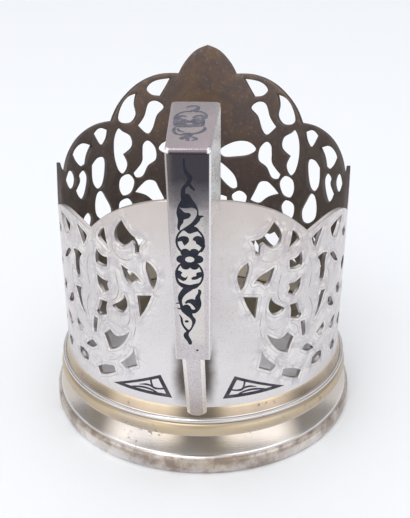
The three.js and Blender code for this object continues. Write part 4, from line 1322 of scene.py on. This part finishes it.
def lowerLeaf():
    return dark(
        leaf((1.55, 27.9, 1), (0.3, 28.95), (-0.95, 30.1), (-1.56, 31.1), (-1.69, 31.9),
             (-1.55, 32.9, 1), (-1.04, 32.62), (-0.48, 32.84), (-0.09, 33.44), (0.1, 34.3), (0.2, 35.3),
             (0.68, 36.2), (0.66, 37), (0.3, 37.9), (-0.1, 38.9), (-0.55, 39.6), (-0.65, 40.4),
             (-0.36, 41.2), (-0.07, 42.1), (-0.2, 42.75), (-0.65, 42.75), (-0.95, 41.9), (-1.4, 41.2),
             (-1.63, 40.4), (-1.5, 39.8), (-0.95, 39.2), (-0.3, 38.55), (0.01, 37.5), (0, 36.7),
             (-0.35, 35.95), (-0.95, 35.3), (-1.62, 34.55), (-2.03, 33.7), (-2.11, 32.7), (-2.36, 31.7),
             (-2.39, 30.7), (-2.09, 29.8), (-1.4, 28.6, 1)),
        leaf((-1.19, 32.1, 1), (-0.7, 31.5), (0.1, 31.2), (0.68, 31.45, 1), (0.74, 30.7), (1.2, 29.8),
             (1.22, 28.95, 1), (1.6, 28.95), (1.85, 29.6), (1.6, 30.7), (1.82, 32.2), (1.6, 33.4),
             (1.1, 34.3), (0.5, 34.75), (-0.1, 34.5), (-0.6, 33.2)),
        stroke([(-2.83, 32.4), (-2.5, 32.25), (-2.1, 32.3)], [0.1, 0.28, 0.3]),
        stroke([(-2.59, 33.45), (-2.3, 33.65), (-1.9, 33.65)], [0.1, 0.3, 0.35]),
        stroke([(-2.24, 35.15), (-1.93, 35.9), (-1.85, 36.7), (-1.7, 37.6), (-1.3, 38.45), (-0.8, 39.2)],
               [0.12, 0.4, 0.42, 0.36, 0.46, 0.5]),
        ellipse((-0.95, 36.78), (0.38, 0.3), 16),
        ellipse((0.9, 44.27), (0.24, 0.22), 12),
    ) + light(
        leaf((-1.03, 32.5, 1), (-0.46, 32.18), (0.1, 32.6), (0.7, 33.6), (0.42, 33.85), (0.02, 33.75),
             (-0.25, 33), (-0.75, 32.6)),
    )


def barFace(x, u, up):
    distance, height = onBar(u, -up)
    return (x, -distance, height - seat)


def onPlate(x, distance, up):
    return (x, -distance, handleSize['top'] + up - seat)


def onWall(s, h, up):
    return tuple(wallSpot(s, h, wallSize['radius'] + up) / mm)


# Shapes are cut in the order of painting: each one covers those before it, and only the dark ones stay
def cutInlay(name, node, shapes, place, material, size=nielloSize, grid=()):
    drawing = Drawing()
    for _, outline in shapes:
        drawing.addFace(outline)
    for line in grid:
        drawing.addLine(line)
    spots, faces = drawing.triangles(lambda ids: bool(ids) and shapes[max(ids)][0])
    kept = sorted({i for face in faces for i in face})
    index = {old: new for new, old in enumerate(kept)}
    piece = meshPiece(name, [(spots[i].x, spots[i].y, 0.0) for i in kept],
                      [tuple(index[i] for i in face) for face in faces])
    editAll(piece)
    bpy.ops.mesh.extrude_region_move(TRANSFORM_OT_translate={"value": (0, 0, 1)})
    leaveEdit()
    for vertex in piece.data.vertices:
        up = size['proud'] if vertex.co.z > 0.5 else -size['sunk']
        vertex.co = Vector(place(vertex.co.x, vertex.co.y, up)) * mm
    editAll(piece)
    bpy.ops.mesh.normals_make_consistent(inside=False)
    leaveEdit()
    return finished(piece, [node], 'niello', material)


def thumbMotif():  # across, distance from the cup's axis
    return dark(
        stroke([(-1.6, 39), (-1.1, 38.2), (-0.4, 37.75), (0.4, 38), (0.62, 39.3), (0.25, 40.7),
                (-0.4, 41.6)], [0.2, 0.5, 0.5, 0.6, 0.75, 0.9, 1.1]),
        stroke([(-0.4, 41.8), (-1.6, 41.9), (-2.5, 43), (-3.05, 45), (-2.9, 47.4)],
               [0.7, 0.5, 0.5, 0.7, 1.1]),
        stroke([(0.1, 41.9), (1.15, 41.9), (1.95, 43.2), (2.3, 44.8), (2, 46.6)],
               [0.7, 0.5, 0.5, 0.6, 0.7]),
        stroke([(-2.9, 46.4), (-2.4, 45.3), (-1.75, 44.9), (-1.15, 45.6)], [1.1, 0.8, 0.7, 0.25]),
        stroke([(0.05, 46.2), (0.55, 44.9), (1.27, 44.5), (2.1, 46.2)], [0.5, 0.7, 0.7, 0.8]),
        leaf((-3.2, 47.2), (-2.2, 46.6), (-1.2, 47.3), (-0.45, 48), (0.1, 46.9), (1.1, 46), (2, 46.8),
             (2.2, 49.2), (1.95, 51.4), (0.6, 52), (-0.9, 52.2), (-2.7, 51.9), (-3.3, 49.8)),
        stroke([(-2.7, 52.2), (-2.85, 54.2), (-2.4, 56), (-1.5, 56.75), (-0.6, 56.4)],
               [0.3, 0.65, 0.6, 0.6, 0.9]),
        stroke([(2.15, 51.8), (2.3, 53.2), (1.8, 54.8), (0.85, 55.9), (0, 56)],
               [0.3, 0.65, 0.75, 0.7, 0.9]),
        stroke([(-2.3, 52.9), (-1.9, 54.4), (-1, 55)], [0.3, 0.6, 0.2]),
        leaf((-1.4, 56), (-0.4, 55.5), (0.6, 55.8), (0.35, 57.2), (0.15, 58), (-0.75, 58), (-0.95, 57)),
        stroke([(-0.7, 57.8), (-1.3, 58.6), (-1, 59.4)], [0.7, 0.9, 0.4]),
        stroke([(-0.3, 57.8), (-0.35, 59.2), (-0.1, 60.1)], [0.9, 0.8, 0.5]),
        stroke([(0, 57.8), (0.85, 58.4), (1.05, 59.3), (0.4, 59.9)], [0.7, 0.8, 0.7, 0.3]),
    ) + light(
        ellipse((-0.45, 49.9), (0.6, 0.65), 20),
        stroke([(-2.5, 48.4), (-2, 47.5), (-1.3, 47.7)], [0.25, 0.5, 0.3]),
        stroke([(0.5, 47.2), (0.95, 46.45), (1.5, 47.3)], [0.25, 0.48, 0.3]),
        stroke([(-2.6, 50.6), (-1.9, 51.1), (-1.2, 50.8)], [0.15, 0.4, 0.15]),
        stroke([(0.4, 50.6), (1, 51), (1.6, 50.3)], [0.15, 0.4, 0.15]),
    )


def cartouche():  # on the unrolled wall
    return dark(leaf((5.7, 18.3, 1), (8.3, 24, 1), (20.9, 18.45, 1))) + light(
        leaf((7.1, 19.15, 1), (8.85, 22.95, 1), (17.6, 19.25, 1))) + dark(
        stroke([(10.7, 22.6), (10.5, 21.2), (10.1, 20.3), (8.8, 20.2), (7.3, 20.6)],
               [0.5, 0.45, 0.6, 0.4, 0.4]),
        stroke([(10.1, 20.4), (11.6, 20.75), (13.6, 20.3)], [0.5, 0.5, 0.12]),
        stroke([(9.2, 19), (10.6, 19.65), (12.8, 19.8), (15.6, 19.2)], [0.4, 0.5, 0.5, 0.3]),
    )


def flipped(shapes):
    return [(kind, [Vector((-point.x, point.y)) for point in outline]) for kind, outline in shapes]


def medallionScroll():
    half = dark(
        stroke([(0, 79.6), (-3, 78.4), (-3.9, 75.6), (-2.6, 73.6), (-1.2, 74.4)],
               [0.4, 0.9, 1.0, 0.8, 0.3]),
        stroke([(0, 71), (-3.4, 72), (-5.8, 69.6), (-5.2, 66.6), (-3.4, 66.4)],
               [0.6, 1.0, 1.1, 0.8, 0.3]),
        stroke([(0, 66), (-2, 63.6), (-4.4, 62.4)], [1.1, 1.1, 0.3]),
        stroke([(-3.2, 77.2), (-4.4, 76.8), (-5.2, 77.6)], [0.5, 0.5, 0.15]),
        stroke([(-5.4, 68.6), (-6.8, 68.2), (-7.4, 69.2)], [0.5, 0.5, 0.15]),
    )
    stem = dark(stroke([(0, 80.6), (0, 76), (0, 71), (0, 66), (0, 61.4)], [0.3, 0.8, 1.1, 0.9, 0.3]))
    shift = Vector((wallSize['halfRound'], 0))
    return [(kind, [point + shift for point in outline]) for kind, outline in half + flipped(half) + stem]


def upright(first, last, low, high):  # lines a millimetre apart that make an inlay follow the round wall
    return [[Vector((s, low)), Vector((s, high))] for s in range(first, last + 1)]


def makeNiello():
    crisp = nielloMaterial('niello', nielloLook)
    soft = nielloMaterial('nielloSoft', softNielloLook)
    faded = nielloMaterial('nielloFaded', fadedNielloLook, 0.05)
    scroll = upperRing() + lowerRing() + flower() + upperLeaf() + lowerLeaf()
    cutInlay('nielloBarScroll', 'niello_bar_scroll', scroll, barFace, crisp)
    cutInlay('nielloThumbMotif', 'niello_thumb_motif', thumbMotif(), onPlate, faded)
    cutInlay('nielloCartoucheRight', 'niello_cartouche_right', cartouche(), onWall, soft,
             grid=upright(5, 22, 17.5, 26.5))
    cutInlay('nielloCartoucheLeft', 'niello_cartouche_left', flipped(cartouche()), onWall, soft,
             grid=upright(-22, -5, 17.5, 26.5))
    cutInlay('nielloMedallionScroll', 'niello_medallion_scroll', medallionScroll(), onWall, crisp,
             grid=upright(101, 119, 60, 82))


makeNiello()
print("niello made")


# Floor, light and camera

stageLook = {
    'floor': (0.955, 0.97, 0.985),
    'floorWidth': 8.0,
    'sky': 1.05,
    # brightness round the horizon and above the windows, from behind the camera to the far side
    'horizon': [(0.0, 0.27), (0.06, 0.27), (0.13, 1.95), (0.33, 1.95), (0.43, 0.34), (0.8, 0.52),
                (1.0, 0.6)],
    'middle': [(0.0, 0.3), (0.07, 0.3), (0.15, 0.5), (0.32, 0.5), (0.45, 0.42), (1.0, 0.61)],
    'ceiling': (0.98, 0.99, 1.02),
    'windowEnd': (0.3, 0.38),  # sines of the elevation, here and in the next line
    'ceilingStart': (0.42, 0.7),
    'lampAt': (-0.2, -0.5, 0.62),
    'lampAim': (0, 0, 0.03),
    'lampPower': 1.3,
    'lampWidth': 0.35,
}


def makeStage(look):
    bpy.ops.mesh.primitive_plane_add(size=look['floorWidth'], location=(0, 0, -seat * mm))
    ground = bpy.context.active_object
    ground.name = 'studioFloor'
    bpy.ops.object.transform_apply(location=True, rotation=True, scale=True)
    material, wire = startMaterial('studioFloor')
    shader = wire.node('ShaderNodeBsdfDiffuse', None, {'Color': look['floor']})
    wire.node('ShaderNodeOutputMaterial', None, {'Surface': shader})
    ground.data.materials.append(material)


def makeSky(look):  # soft studio: windows round the horizon, darker behind the camera, a bright ceiling
    world = bpy.data.worlds.new('studio')
    bpy.context.scene.world = world
    world.use_nodes = True
    world.node_tree.nodes.clear()
    wire = Wire(world.node_tree)
    direction = wire.node('ShaderNodeTexCoord', None, None, 0)
    x, y, z = axes(direction)
    around = x.math('ARCTAN2', x, y * -1.0).of('ABSOLUTE') / math.pi
    above = z.between(*look['windowEnd'])
    low = above.blendColor(around.ramp(look['horizon']), around.ramp(look['middle']))
    color = z.between(*look['ceilingStart']).blendColor(low, look['ceiling'])
    shader = wire.node('ShaderNodeBackground', None, {'Color': color, 'Strength': look['sky']})
    wire.node('ShaderNodeOutputWorld', None, {'Surface': shader})


def makeLamp(look):
    bpy.ops.object.light_add(type='AREA', location=look['lampAt'])
    lamp = bpy.context.active_object
    lamp.name = 'softBox'
    lamp.data.shape = 'SQUARE'
    lamp.data.size = look['lampWidth']
    lamp.data.energy = look['lampPower']
    lamp.rotation_euler = (Vector(look['lampAim']) - lamp.location).to_track_quat('-Z', 'Y').to_euler()


cameraView = {
    'azimuth': math.radians(2.0),
    'elevation': math.radians(25.09),
    'distance': 202.72,
    'sideways': 0.47,
    'targetHeight': 36.57,
    'sensor': 36.0,
    'lens': 36.0 * 800 / 518,  # 800 pixels, in a picture 518 pixels high
    'clip': (0.01, 50.0),
}


def makeCamera(view):
    around, up = view['azimuth'], view['elevation']
    right = Vector((math.cos(around), math.sin(around), 0))
    back = Vector((math.sin(around) * math.cos(up), -math.cos(around) * math.cos(up), math.sin(up)))
    target = right * view['sideways'] + Vector((0, 0, view['targetHeight'] - seat))
    bpy.ops.object.camera_add(location=(target + back * view['distance']) * mm)
    camera = bpy.context.active_object
    camera.rotation_euler = back.to_track_quat('Z', 'Y').to_euler()
    camera.data.lens = view['lens']
    camera.data.sensor_width = view['sensor']
    camera.data.clip_start, camera.data.clip_end = view['clip']
    bpy.context.scene.camera = camera


makeStage(stageLook)
makeSky(stageLook)
makeLamp(stageLook)
makeCamera(cameraView)
bpy.context.scene.view_settings.view_transform = 'Standard'
print("stage made")
